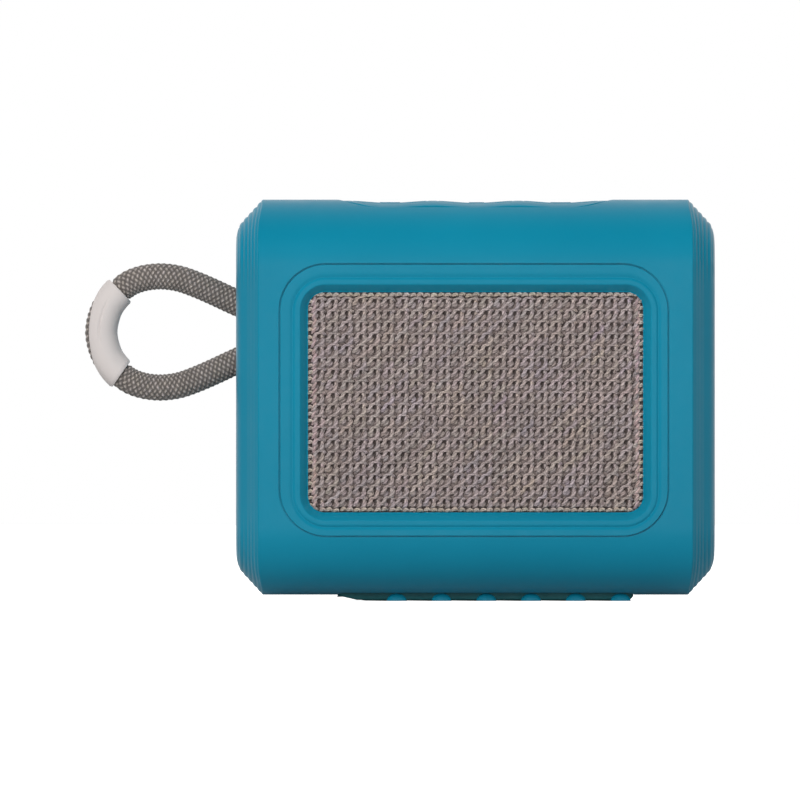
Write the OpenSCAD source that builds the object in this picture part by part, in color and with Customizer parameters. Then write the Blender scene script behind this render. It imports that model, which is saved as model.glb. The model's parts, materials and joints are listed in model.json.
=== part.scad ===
// Portable speaker with a cord carry loop. Millimetres, +Z up, the grille faces -Y.
// The origin is on the ground under the middle of the case.

/* [Case] */
// Width of the case, end to end
body_w = 93; // [92:0.5:96]
// Depth of the case, grille to back
body_d = 42; // [42:0.5:44]
// Height of the top of the case above the ground
body_top = 78; // [78:0.5:80]
// Radius of the long edges, front and back
edge_r = 13; // [12:0.5:13]
// Moulded wall thickness
wall = 2.2; // [2:0.1:2.4]
// Width of the stepped bevel at each end
bevel_w = 5; // [4.5:0.1:5.2]
// Height of the stepped bevel at each end
bevel_h = 5.6; // [5:0.1:6]
// Number of steps in the bevel
bevel_steps = 5; // [3:1:6]

/* [Grille] */
// Width of the grille frame
frame_w = 75.2; // [74:0.2:76]
// Height of the grille frame
frame_h = 52.6; // [52:0.2:53]
// Width of the cloth window
window_w = 65; // [62:0.5:65.5]
// Height of the cloth window
window_h = 42.8; // [41:0.2:43]
// Gap between the grille frame and the case
seam = 0.25; // [0.15:0.05:0.3]

/* [Buttons] */
// Length of the top button panel
panel_w = 53.4; // [52:0.2:54]
// Depth of the top button panel
panel_d = 27.6; // [26:0.2:27.8]
// Distance between the top buttons
key_pitch = 16.6; // [16.4:0.1:16.8]
// Depth of the dish in each top button
dish = 0.4; // [0.2:0.1:0.5]

/* [Speaker] */
// Radius of the hole in front of the cone
driver_r = 20.4; // [20:0.1:20.6]
// Radius of the rounded ends of the radiator opening
radiator_r = 15; // [14.6:0.1:15.2]
// Half the distance between the centres of those ends
radiator_c = 11; // [8:0.5:12]

/* [Carry loop] */
// Diameter of the cord
rope_d = 5.2; // [4.8:0.1:5.3]
// Outside diameter of the sleeve on the cord
sleeve_d = 6.4; // [6.2:0.1:7]
// Radius of the steel pin that holds the cord
pin_r = 1.5; // [1.4:0.05:1.55]

/* [Foot] */
// How far the foot stands below the case
foot_h = 1.2; // [1.1:0.1:1.3]
// Length of the foot
foot_w = 57.4; // [56:0.2:58]
// Depth of the foot
foot_d = 22; // [20:0.5:23]

/* [Hidden] */
$fn = 64;

teal = [0.07, 0.52, 0.63];
dark_teal = [0.05, 0.36, 0.42];
cloth = [0.5, 0.46, 0.45];
pale = [0.83, 0.8, 0.79];
steel = [0.7, 0.72, 0.74];
black = [0.12, 0.12, 0.13];
board_green = [0.1, 0.35, 0.2];
copper = [0.75, 0.42, 0.22];

// Case
case_bottom = foot_h;
case_h = body_top - case_bottom;
case_mid = (body_top + case_bottom) / 2;
half_d = body_d / 2;
half_w = body_w / 2;
split_y = 15;
cavity_x = half_w - bevel_w + 0.5;
cavity_end_x = half_w - wall;
cavity_end_inset = 7;
flange_t = 1.6;
rim_w = 84.8;
rim_h = 73;
rim_in = 4.2;
seal_out = 1.6;
seal_in = 2.8;
seal_t = 0.8;

// Grille, front to back
frame_z = 39;
cloth_z = 38.6;
frame_r = 8.2;
lip_y = -half_d;
band_y = lip_y + 0.4;
cloth_y = lip_y + 1.7;
cloth_t = 0.6;
mesh_t = 0.8;
frame_back = lip_y + 3.8;
baffle_y = frame_back + 0.2;
baffle_t = 2;
baffle_back = baffle_y + baffle_t;
cloth_w = window_w + 3.8;
cloth_h = window_h + 3.6;
fit = 0.15;

// Top buttons
key_w = 15.2;
key_d = 21.2;
key_gap = 0.25;
key_x = [-key_pitch, 0, key_pitch];
panel_drop = 0.3;
panel_floor = 74.4;
key_flange_z = 73.3;
key_stem_z = 72;
block_z = 72.6;
key_board_z = 70.2;
board_t = 1;
key_boss_x = 27.3;
key_boss_y = 6;
dish_r = (pow(key_w / 2, 2) + pow(dish, 2)) / (2 * dish);

// Right end
side_y = 7;
power_z = 60;
pairing_z = 48.5;
led_z = 69;
mic_z = 65.8;
port_z = 28;
side_board_x = 40.2;
side_board_top = side_board_x + board_t;
side_screw_z = [14.5, 41];
cap_r = 4;
cover_w = 11;
cover_h = 19;
cover_t = 1.6;
cover_z = port_z - cover_h / 2;
hinge_x = half_w - cover_t / 2;
hinge_pin_r = 0.5;
port_front = 44.5;
port_back = 38.1;

// Driver, on the axis x = 0, z = cloth_z
driver_gasket_t = 0.5;
flange_y = baffle_back + driver_gasket_t;
basket_flange_t = 1.2;
basket_back = flange_y + 9.7;
plate_t = 2;
magnet_t = 4;
gap_in = 6.45;
gap_out = 8.4;
screw_at = 19.5;

// Radiator
gasket_t = 0.5;
wall_in = half_d - wall;
rad_frame_t = 1.2;
rad_frame_y = wall_in - gasket_t - rad_frame_t;
rad_screws = [[-28, 0], [28, 0], [-11, 17], [11, 17], [-11, -17], [11, -17]];

// Boards and posts
main_board_y = 6.4;
post_x = 36.9;
post_z = [20, 60];
post_r = 2.8;
board_post_x = 30;
board_post_z = [20.5, 57.5];
board_post_r = 2.4;
screw_r = 0.95;
pilot_r = 1;

// Battery
cell = [56, 24, 8];
cell_z = 5.6;

// Carry loop
pin_x = -43.9;
loop_z = 52.3;
pocket_w = 8;
pocket_h = 24.6;
pocket_x = -36.5;
pocket_wall = 1.5;
rope_r = rope_d / 2;
pin_play = 0.05;
bight_r = pin_r + pin_play + rope_r;
rope_spread = 24.6;
// Middle of the upper half of the loop: distance out along X, height above the pin
rope_upper = [
    [-42.2, 3.8], [-44.5, 4.8], [-48, 6.4], [-51, 7.8], [-54, 9.1], [-57, 10.2],
    [-59.5, 10.7], [-62, 10.8], [-64.8, 10.4], [-67.4, 9.4], [-69.6, 7.6], [-71.4, 5.3],
    [-72.4, 2.7]
];
rope_tip = [-72.8, 0];
rope_route = concat(
    rope_upper,
    [rope_tip],
    [for (i = [len(rope_upper) - 1:-1:0]) [rope_upper[i][0], -rope_upper[i][1]]]
);
rope_sides = 12;
sleeve_first = 9;
sleeve_last = 17;

// Foot ribs
rib_count = 6;
rib_pitch = 8.7;
rib_first_x = -15.3;
rib_w = 3.6;
rib_lean = 9.7;
rib_h = 0.8;
foot_x = 2;
foot_top = 2;

// ---- Helpers ----

// Rounded rectangle with true arcs
module rounded(w, h, r) {
    square([w - 2 * r, h], center = true);
    square([w, h - 2 * r], center = true);
    for (x = [-1, 1], y = [-1, 1])
        translate([x * (w / 2 - r), y * (h / 2 - r)]) circle(r);
}

// Racetrack outline with its centres at x = +-c
module racetrack(c, r) {
    square([2 * c, 2 * r], center = true);
    for (x = [-c, c])
        translate([x, 0]) circle(r);
}

// Extrudes a Y-Z outline from x0 to x1
module along_x(x0, x1) {
    translate([x0, 0, 0]) rotate([90, 0, 90]) linear_extrude(x1 - x0) children();
}

// Extrudes an X-Z outline from y0 to y1
module along_y(y0, y1) {
    translate([0, y1, 0]) rotate([90, 0, 0]) linear_extrude(y1 - y0) children();
}

// Round bars along each axis
module bar_x(r, x0, x1, y, z) {
    translate([x0, y, z]) rotate([0, 90, 0]) cylinder(r = r, h = x1 - x0);
}

module bar_y(r, y0, y1, x, z) {
    translate([x, y0, z]) rotate([-90, 0, 0]) cylinder(r = r, h = y1 - y0);
}

module bar_z(r, z0, z1, x, y) {
    translate([x, y, z0]) cylinder(r = r, h = z1 - z0);
}

// Box from its lowest to its highest corner
module box(a, b) {
    translate(a) cube(b - a);
}

// Spins an (r, y) profile round the driver's axis
module spin_driver() {
    translate([0, 0, cloth_z]) rotate([-90, 0, 0]) rotate_extrude() children();
}

// Runs an (r, y) profile round a racetrack with its centres at x = +-c
module spin_racetrack(c) {
    for (turn = [0, 180])
        translate([0, 0, cloth_z]) rotate([0, turn, 0]) {
            translate([c, 0, 0]) rotate([-90, 0, 0]) rotate([0, 0, -90])
                rotate_extrude(angle = 180) children();
            translate([c, 0, 0]) rotate([0, -90, 0]) linear_extrude(2 * c) children();
        }
}

// Half-round roll of a surround in (r, y), arching towards dir
module roll(mid_r, r, t, y, dir) {
    difference() {
        translate([mid_r, y]) circle(r);
        translate([mid_r, y]) circle(r - t);
        translate([mid_r - 2 * r, dir > 0 ? y - 4 * r : y]) square(4 * r);
    }
}

// Flat-headed screw along Y. The head starts at y and the shank runs towards dir.
module screw_y(x, z, y, head_r, head_t, length, dir) {
    bar_y(head_r, min(y, y + dir * head_t), max(y, y + dir * head_t), x, z);
    shank_end = y + dir * (head_t + length);
    bar_y(screw_r, min(y + dir * head_t, shank_end), max(y + dir * head_t, shank_end), x, z);
}

// ---- Case ----

// Outline of the case seen from its end, drawn in by d
module case_outline(d) {
    translate([0, case_mid]) rounded(body_d - 2 * d, case_h - 2 * d, edge_r - d);
}

module case_solid() {
    step_w = bevel_w / bevel_steps;
    step_h = bevel_h / bevel_steps;
    inner_x = half_w - bevel_w;
    along_x(-inner_x, inner_x) case_outline(0);
    for (i = [1:bevel_steps])
        along_x(-inner_x - i * step_w, inner_x + i * step_w) case_outline((i - 0.5) * step_h);
}

module rim_outline(d) {
    translate([0, case_mid]) rounded(rim_w - 2 * d, rim_h - 2 * d, edge_r - wall);
}

// What stands inside the hollow of the case: rims, baffle, key block, cord pocket and posts
module inner_structure() {
    along_y(split_y - flange_t, split_y + flange_t)
        difference() {
            rim_outline(0);
            rim_outline(rim_in);
        }
    along_y(-half_d, baffle_back)
        translate([0, frame_z]) rounded(frame_w + 6, frame_h + 6, frame_r + 1);
    box([-30, -16, block_z], [30, split_y, body_top]);
    for (x = [-1, 1], y = [-1, 1])
        bar_z(1.7, key_board_z + board_t, block_z + 1, x * key_boss_x, y * key_boss_y);
    box(
        [-half_w, -pocket_w / 2 - pocket_wall, loop_z - pocket_h / 2 - pocket_wall],
        [pocket_x + pocket_wall, pocket_w / 2 + pocket_wall, loop_z + pocket_h / 2 + pocket_wall]
    );
    box([42.2, 0, cover_z - 2], [half_w, split_y - 1, cover_z + cover_h + 2]);
    for (x = [-1, 1]) {
        for (z = post_z)
            bar_y(post_r, baffle_y, half_d - 1, x * post_x, z);
        for (z = board_post_z)
            bar_y(board_post_r, baffle_y, main_board_y, x * board_post_x, z);
    }
    for (z = side_screw_z)
        bar_x(2.2, side_board_top, half_w - 1, side_y, z);
}

// Material taken out of the case before its openings are cut
module case_hollow() {
    difference() {
        union() {
            along_x(-cavity_x, cavity_x) case_outline(wall);
            along_x(-cavity_end_x, cavity_end_x) case_outline(cavity_end_inset);
        }
        inner_structure();
    }
}

// Outline of the top panel seen from above, grown by d
module panel_outline(d) {
    rounded(panel_w + 2 * d, panel_d + 2 * d, 8 + d);
}

module main_shell() {
    color(teal)
        difference() {
            case_solid();
            case_hollow();
            box([-half_w - 1, split_y, 0], [half_w + 1, half_d + 1, body_top + 1]);
            // Recess for the grille frame, and the hole in front of the cone
            along_y(-half_d - 1, baffle_y)
                translate([0, frame_z])
                    rounded(frame_w + 2 * seam, frame_h + 2 * seam, frame_r + seam);
            bar_y(driver_r, baffle_y - 1, baffle_back + 1, 0, cloth_z);
            for (x = [-1, 1], z = [-1, 1])
                bar_y(pilot_r, baffle_back - 1.6, baffle_back + 1,
                    x * screw_at, cloth_z + z * screw_at);
            // Top panel recess, and the well for the keys under it
            translate([0, 0, panel_floor]) linear_extrude(10) panel_outline(fit);
            translate([0, 0, block_z - 1]) linear_extrude(10) rounded(51, 24, 3);
            for (x = [-1, 1], y = [-1, 1])
                bar_z(pilot_r, key_board_z, panel_floor - 0.3, x * key_boss_x, y * key_boss_y);
            // Cord pocket and the bore for its pin
            along_x(-half_w - 1, pocket_x)
                translate([0, loop_z]) rounded(pocket_w, pocket_h, 2);
            bar_y(pin_r + pin_play, -pocket_w / 2 - 1, pocket_w / 2 + pocket_wall + 1, pin_x, loop_z);
            // End buttons, light pipe and microphone
            for (z = [power_z, pairing_z])
                bar_x(cap_r + key_gap, 42, half_w + 1, side_y, z);
            bar_x(0.95, 42, half_w + 1, side_y, led_z);
            bar_x(0.5, 42, half_w + 1, side_y, mic_z);
            // Charging port: cover recess, hinge sockets, socket hole
            box(
                [half_w - cover_t - 0.2, side_y - cover_w / 2 - 0.2, cover_z - 0.2],
                [half_w + 1, side_y + cover_w / 2 + 0.2, cover_z + cover_h + 0.2]
            );
            bar_y(hinge_pin_r + pin_play, side_y - cover_w / 2 - 1, side_y + cover_w / 2 + 1,
                hinge_x, cover_z + cover_t / 2);
            along_x(42, half_w) translate([side_y, port_z]) rounded(4.4, 10.2, 2.1);
            for (z = side_screw_z)
                bar_x(pilot_r, 40, 43.4, side_y, z);
            // Screw holes
            for (x = [-1, 1]) {
                for (z = post_z)
                    bar_y(pilot_r, split_y - 7, split_y + 1, x * post_x, z);
                for (z = board_post_z)
                    bar_y(pilot_r, main_board_y - 5, main_board_y + 1, x * board_post_x, z);
            }
            // Foot recess
            box(
                [foot_x - foot_w / 2 - fit, -foot_d / 2 - fit, 0],
                [foot_x + foot_w / 2 + fit, foot_d / 2 + fit, foot_top]
            );
        }
}

module rear_cover() {
    color(teal)
        difference() {
            case_solid();
            case_hollow();
            box([-half_w - 1, -half_d - 1, 0], [half_w + 1, split_y, body_top + 1]);
            along_y(0, split_y + seal_t)
                difference() {
                    rim_outline(seal_out);
                    rim_outline(seal_in);
                }
            along_y(0, half_d + 1) translate([0, cloth_z]) racetrack(radiator_c, radiator_r);
            for (p = rad_screws)
                bar_y(pilot_r, 0, wall_in + 1.6, p[0], cloth_z + p[1]);
            for (x = [-1, 1], z = post_z) {
                bar_y(screw_r + 0.2, 0, half_d + 1, x * post_x, z);
                bar_y(2.2, half_d - 2, half_d + 1, x * post_x, z);
            }
        }
}

module shell_seal() {
    color(black)
        along_y(split_y, split_y + seal_t)
            difference() {
                rim_outline(seal_out);
                rim_outline(seal_in);
            }
}

module shell_screws() {
    color(steel)
        for (x = [-1, 1], z = post_z)
            difference() {
                screw_y(x * post_x, z, half_d - 0.8, 1.9, 1.2, 8.5, -1);
                box([x * post_x - 1.2, half_d - 1.4, z - 0.2], [x * post_x + 1.2, half_d, z + 0.2]);
                box([x * post_x - 0.2, half_d - 1.4, z - 1.2], [x * post_x + 0.2, half_d, z + 1.2]);
            }
}

// ---- Grille ----

module grille_frame() {
    color(teal)
        difference() {
            union() {
                along_y(band_y, frame_back) translate([0, frame_z]) rounded(frame_w, frame_h, frame_r);
                along_y(lip_y, frame_back) translate([0, cloth_z]) rounded(71, 47.6, 6);
            }
            along_y(lip_y - 1, lip_y + 0.9) translate([0, cloth_z]) rounded(67.6, 44.8, 3.4);
            along_y(lip_y - 1, frame_back + 1) translate([0, cloth_z]) rounded(window_w, window_h, 2.4);
            along_y(cloth_y, frame_back + 1)
                translate([0, cloth_z]) rounded(cloth_w + 2 * fit, cloth_h + 2 * fit, 3 + fit);
        }
}

module frame_gasket() {
    color(black)
        along_y(frame_back, baffle_y)
            difference() {
                translate([0, frame_z]) rounded(frame_w - 1, frame_h - 1, frame_r - 0.5);
                translate([0, cloth_z]) rounded(cloth_w + 0.8, cloth_h + 0.8, 3);
            }
}

module grille_fabric() {
    color(cloth)
        along_y(cloth_y, cloth_y + cloth_t) translate([0, cloth_z]) rounded(cloth_w, cloth_h, 3);
}

module grille_mesh() {
    columns = 11;
    rows = 7;
    pitch_x = (window_w - 3) / columns;
    pitch_z = (window_h - 3) / rows;
    color(black)
        difference() {
            along_y(cloth_y + cloth_t, frame_back)
                translate([0, cloth_z]) rounded(cloth_w, cloth_h, 3);
            along_y(cloth_y + cloth_t + mesh_t, frame_back + 1)
                translate([0, cloth_z]) rounded(window_w, window_h, 2.4);
            for (i = [0:columns - 1], j = [0:rows - 1])
                translate([
                    (i - (columns - 1) / 2) * pitch_x, cloth_y,
                    cloth_z + (j - (rows - 1) / 2) * pitch_z
                ])
                    cube([pitch_x - 1.2, 6, pitch_z - 1.2], center = true);
        }
}

// ---- Top buttons ----

// Case surface under the panel, with the three dishes
module panel_surface() {
    difference() {
        along_x(-panel_w / 2 - 1, panel_w / 2 + 1) case_outline(panel_drop);
        for (x = key_x)
            translate([x, -half_d, body_top - panel_drop - dish + dish_r]) rotate([-90, 0, 0])
                cylinder(r = dish_r, h = body_d, $fn = 240);
    }
}

module button_panel() {
    color(teal)
        intersection() {
            panel_surface();
            translate([0, 0, panel_floor])
                linear_extrude(10)
                    difference() {
                        panel_outline(0);
                        for (x = key_x)
                            translate([x, 0]) rounded(key_w, key_d, 3);
                    }
        }
}

module top_key(x) {
    color(teal) {
        intersection() {
            panel_surface();
            translate([x, 0, panel_floor - 0.1])
                linear_extrude(10) rounded(key_w - 2 * key_gap, key_d - 2 * key_gap, 3 - key_gap);
        }
        translate([x, 0, key_flange_z])
            linear_extrude(panel_floor - 0.1 - key_flange_z) rounded(16, 22, 3);
        bar_z(2, key_stem_z, key_flange_z, x, 0);
    }
}

module volume_down_button() {
    top_key(key_x[0]);
}

module play_button() {
    top_key(key_x[1]);
}

module volume_up_button() {
    top_key(key_x[2]);
}

module key_dome(x) {
    color(steel)
        translate([x, 0, key_board_z + board_t])
            cylinder(r1 = 4, r2 = 2.2, h = key_stem_z - key_board_z - board_t);
}

module volume_down_dome() {
    key_dome(key_x[0]);
}

module play_dome() {
    key_dome(key_x[1]);
}

module volume_up_dome() {
    key_dome(key_x[2]);
}

module key_board() {
    color(board_green)
        translate([0, 0, key_board_z])
            linear_extrude(board_t)
                difference() {
                    rounded(59, 19, 1.5);
                    for (x = [-1, 1], y = [-1, 1])
                        translate([x * key_boss_x, y * key_boss_y]) circle(1.1);
                }
}

// ---- Right end ----

module end_button(z) {
    color(teal) {
        bar_x(cap_r, 44.1, half_w - 0.1, side_y, z);
        bar_x(cap_r + 0.8, 43.2, 44.1, side_y, z);
        bar_x(1.2, 42.1, 43.2, side_y, z);
    }
}

module power_button() {
    end_button(power_z);
}

module pairing_button() {
    end_button(pairing_z);
}

module end_dome(z) {
    color(steel)
        translate([side_board_top, side_y, z]) rotate([0, 90, 0])
            cylinder(r1 = 3.2, r2 = 1.6, h = 42.1 - side_board_top);
}

module power_dome() {
    end_dome(power_z);
}

module pairing_dome() {
    end_dome(pairing_z);
}

module side_board() {
    color(board_green)
        along_x(side_board_x, side_board_top)
            difference() {
                translate([side_y, 41.5]) rounded(10, 59, 1);
                translate([side_y, port_z]) rounded(3.6, 9.4, 1.7);
                for (z = side_screw_z)
                    translate([side_y, z]) circle(1.1);
            }
}

module status_light_pipe() {
    color([0.9, 0.93, 0.95]) {
        bar_x(0.9, 43, half_w - 0.1, side_y, led_z);
        bar_x(1.4, 42.2, 43, side_y, led_z);
    }
}

module status_led() {
    color([0.95, 0.95, 0.8])
        box([side_board_top, side_y - 0.8, led_z - 0.8], [42.2, side_y + 0.8, led_z + 0.8]);
}

module microphone() {
    color(steel)
        difference() {
            box([side_board_top, side_y - 1.8, mic_z - 1.3], [42.2, side_y + 1.8, mic_z + 1.3]);
            bar_x(0.4, 41.8, 43, side_y, mic_z);
        }
}

module usb_port() {
    color(steel) {
        difference() {
            along_x(port_back, port_front) translate([side_y, port_z]) rounded(3.3, 9, 1.6);
            along_x(port_back + 0.8, port_front + 1) translate([side_y, port_z]) rounded(2.6, 8.3, 1.25);
        }
        box(
            [port_back + 0.5, side_y - 0.35, port_z - 3.3],
            [port_front - 0.5, side_y + 0.35, port_z + 3.3]
        );
    }
}

module port_cover() {
    color(dark_teal)
        difference() {
            union() {
                box(
                    [half_w - cover_t, side_y - cover_w / 2, cover_z + cover_t / 2],
                    [half_w, side_y + cover_w / 2, cover_z + cover_h]
                );
                bar_y(cover_t / 2, side_y - cover_w / 2, side_y + cover_w / 2,
                    hinge_x, cover_z + cover_t / 2);
                bar_y(hinge_pin_r, side_y - cover_w / 2 - 0.8, side_y + cover_w / 2 + 0.8,
                    hinge_x, cover_z + cover_t / 2);
            }
            box(
                [half_w - 0.6, side_y - 2.5, cover_z + cover_h - 1.4],
                [half_w + 1, side_y + 2.5, cover_z + cover_h + 1]
            );
        }
}

// ---- Driver ----

module driver_basket() {
    color(black)
        difference() {
            union() {
                along_y(flange_y, flange_y + basket_flange_t)
                    translate([0, cloth_z]) difference() {
                        rounded(46, 46, 4);
                        circle(19.6);
                    }
                spin_driver() {
                    translate([19.6, flange_y + 0.6]) square([1.2, 5]);
                    translate([16.3, flange_y + 5]) square([4.5, 1]);
                    translate([16.3, flange_y + 5]) square([1.2, basket_back - flange_y - 5]);
                    translate([gap_out, basket_back - 1.2]) square([17.5 - gap_out, 1.2]);
                }
            }
            for (a = [45:90:315])
                translate([0, 0, cloth_z]) rotate([0, a, 0])
                    box([15, flange_y + 6.6, -4], [24, basket_back - 1.6, 4]);
            for (x = [-1, 1], z = [-1, 1])
                bar_y(1.1, flange_y - 1, flange_y + 3, x * screw_at, cloth_z + z * screw_at);
        }
}

module driver_gasket() {
    color(black)
        along_y(baffle_back, flange_y)
            translate([0, cloth_z]) difference() {
                rounded(46, 46, 4);
                circle(20.6);
                for (x = [-1, 1], z = [-1, 1])
                    translate([x * screw_at, z * screw_at]) circle(1.1);
            }
}

module driver_screws() {
    color(steel)
        for (x = [-1, 1], z = [-1, 1])
            screw_y(x * screw_at, cloth_z + z * screw_at, flange_y + basket_flange_t + 1, 1.9, 1, 3.2, -1);
}

module driver_top_plate() {
    color(steel)
        spin_driver() translate([gap_out, basket_back]) square([13 - gap_out, plate_t]);
}

module driver_magnet() {
    color([0.25, 0.25, 0.27])
        spin_driver() translate([9.5, basket_back + plate_t]) square([5.5, magnet_t]);
}

module driver_yoke() {
    color(steel)
        spin_driver() {
            translate([0, basket_back + plate_t + magnet_t]) square([14, plate_t]);
            translate([0, basket_back]) square([gap_in, plate_t + magnet_t + 0.5]);
        }
}

module voice_coil() {
    color(copper)
        spin_driver() translate([7, basket_back - 1.7]) square([0.8, 4.6]);
}

module coil_former() {
    color([0.8, 0.7, 0.4])
        spin_driver() translate([6.85, flange_y + 2.6]) square([0.15, basket_back + 2.9 - flange_y - 2.6]);
}

module spider() {
    color([0.8, 0.65, 0.3])
        spin_driver() {
            translate([7, flange_y + 4.6]) square([11.6, 0.4]);
            for (r = [9:2:15])
                translate([r, flange_y + 4.2]) square([1, 0.8]);
        }
}

module driver_cone() {
    color(black)
        spin_driver()
            polygon([
                [7, flange_y + 3.4], [7, flange_y + 2.8], [8, flange_y + 2.4],
                [16.6, flange_y - 0.6], [16.6, flange_y], [8.2, flange_y + 3.0], [7.6, flange_y + 3.4]
            ]);
}

module dust_cap() {
    cap_rad = 12;
    cap_y = flange_y + 10.8;
    color(black)
        spin_driver()
            intersection() {
                difference() {
                    translate([0, cap_y]) circle(cap_rad, $fn = 128);
                    translate([0, cap_y]) circle(cap_rad - 0.4, $fn = 128);
                }
                translate([0, cap_y - cap_rad - 1]) square([8, 4]);
            }
}

module driver_surround() {
    color([0.08, 0.08, 0.08])
        spin_driver() {
            roll(18.1, 1.5, 0.4, flange_y - 0.4, -1);
            translate([19.2, flange_y - 0.4]) square([1.2, 0.4]);
            translate([15.8, flange_y - 1]) square([1.2, 0.4]);
            translate([16.6, flange_y - 1]) square([0.4, 1]);
        }
}

module driver_terminals() {
    color([0.6, 0.5, 0.3]) {
        box([-5, flange_y + basket_flange_t, 59.4], [5, flange_y + basket_flange_t + 0.8, 61.4]);
        for (x = [-2.5, 2.5])
            box([x - 0.9, flange_y + basket_flange_t + 0.8, 59.8], [x + 0.9, flange_y + 2.4, 61]);
    }
}

module speaker_wires() {
    color([0.7, 0.1, 0.1])
        for (x = [-2.5, 2.5])
            bar_y(0.55, flange_y + 2.4, main_board_y, x, 60.4);
}

// ---- Radiator ----

module radiator_frame() {
    color(black)
        along_y(rad_frame_y, rad_frame_y + rad_frame_t)
            translate([0, cloth_z]) difference() {
                racetrack(radiator_c, radiator_r + 4.4);
                racetrack(radiator_c, radiator_r - 1);
                for (p = rad_screws)
                    translate(p) circle(1.1);
            }
}

module radiator_gasket() {
    color(black)
        along_y(wall_in - gasket_t, wall_in)
            translate([0, cloth_z]) difference() {
                racetrack(radiator_c, radiator_r + 4.4);
                racetrack(radiator_c, radiator_r + 0.2);
                for (p = rad_screws)
                    translate(p) circle(1.1);
            }
}

module radiator_screws() {
    color(steel)
        for (p = rad_screws)
            screw_y(p[0], cloth_z + p[1], rad_frame_y - 1, 1.9, 1, 3.1, 1);
}

module radiator_surround() {
    y = rad_frame_y + rad_frame_t;
    color([0.1, 0.1, 0.1])
        spin_racetrack(radiator_c) {
            roll(radiator_r - 2.3, 1.3, 0.4, y, 1);
            translate([radiator_r - 1.2, y]) square([1.2, 0.4]);
            translate([radiator_r - 4.6, y]) square([1.3, 0.4]);
        }
}

module radiator_plate() {
    y = rad_frame_y + rad_frame_t;
    color(dark_teal) {
        along_y(y - 1, y) translate([0, cloth_z]) racetrack(radiator_c, radiator_r - 3.7);
        along_y(y, y + 0.9) translate([0, cloth_z]) racetrack(radiator_c, radiator_r - 4.7);
    }
}

// ---- Boards and battery ----

module main_board() {
    color(board_green)
        along_y(main_board_y, main_board_y + board_t)
            difference() {
                translate([0, 39]) rounded(66, 44, 2);
                translate([0, cloth_z]) circle(10);
                for (x = [-1, 1], z = board_post_z)
                    translate([x * board_post_x, z]) circle(1.1);
            }
}

module radio_module() {
    y = main_board_y + board_t;
    color(steel)
        box([-27, y, 34], [-15, y + 2, 50]);
}

module board_components() {
    y = main_board_y + board_t;
    color(black) {
        box([13, y, 40], [19, y + 0.9, 46]);
        box([13, y, 27], [18, y + 0.9, 32]);
        for (x = [16, 24])
            bar_y(2, y, y + 3, x, 53);
        for (x = [-12:4:12])
            box([x - 0.8, y, 21], [x + 0.8, y + 0.8, 22]);
        for (z = [26, 32, 38])
            box([22, y, z], [26, y + 2.4, z + 4]);
    }
}

// Screws that hold the main, key and end boards
module board_screws() {
    color(steel) {
        for (x = [-1, 1], z = board_post_z)
            screw_y(x * board_post_x, z, main_board_y + board_t + 1, 1.9, 1, 5, -1);
        for (x = [-1, 1], y = [-1, 1]) {
            bar_z(1.7, key_board_z - 1, key_board_z, x * key_boss_x, y * key_boss_y);
            bar_z(screw_r, key_board_z, key_board_z + 3.6, x * key_boss_x, y * key_boss_y);
        }
        for (z = side_screw_z) {
            bar_x(1.7, side_board_x - 1, side_board_x, side_y, z);
            bar_x(screw_r, side_board_x, side_board_x + 3, side_y, z);
        }
    }
}

module flex_cables() {
    color([0.75, 0.5, 0.15]) {
        box([31, main_board_y - 0.3, 33], [side_board_x, main_board_y, 39]);
        box([5, main_board_y - 0.3, 56], [13, main_board_y, key_board_z]);
    }
}

module battery_cell() {
    color([0.55, 0.6, 0.65])
        along_x(-cell[0] / 2, cell[0] / 2)
            translate([0, cell_z + cell[2] / 2]) rounded(cell[1], cell[2], 1.5);
}

module battery_pads() {
    color(black)
        for (x = [-18, 18])
            box([x - 6, -7, case_bottom + wall], [x + 6, 7, cell_z]);
}

module battery_wires() {
    color([0.7, 0.1, 0.1])
        for (x = [22, 24.4])
            bar_z(0.55, cell_z + cell[2], 20, x, main_board_y - 0.6);
}

// ---- Foot ----

module foot_pad() {
    color(dark_teal) {
        intersection() {
            box(
                [foot_x - foot_w / 2, -foot_d / 2, rib_h - 0.3],
                [foot_x + foot_w / 2, foot_d / 2, foot_top]
            );
            along_x(-half_w, half_w) case_outline(-(case_bottom - rib_h + 0.3));
        }
        for (x = [for (i = [0:rib_count - 1]) rib_first_x + i * rib_pitch])
            linear_extrude(foot_top - 0.4)
                polygon([
                    [x - rib_w / 2, -foot_d / 2 + 1], [x + rib_w / 2, -foot_d / 2 + 1],
                    [x + rib_w / 2 - rib_lean, foot_d / 2 - 1], [x - rib_w / 2 - rib_lean, foot_d / 2 - 1]
                ]);
    }
}

// ---- Carry loop ----

module loop_pin() {
    color(steel)
        bar_y(pin_r, -pocket_w / 2 - 1, pocket_w / 2 + pocket_wall - 0.1, pin_x, loop_z);
}

// Direction of the route at point i, in X-Z
function heading(i) = let (
    a = rope_route[max(i - 1, 0)],
    b = rope_route[min(i + 1, len(rope_route) - 1)]
) (b - a) / norm(b - a);

// One ring of points of radius r round point i of the route
function ring(i, r) = let (h = heading(i), p = rope_route[i]) [
    for (k = [0:rope_sides - 1])
        let (a = k * 360 / rope_sides)
            [p[0] - h[1] * r * cos(a), r * sin(a), loop_z + p[1] + h[0] * r * cos(a)]
];

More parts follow.
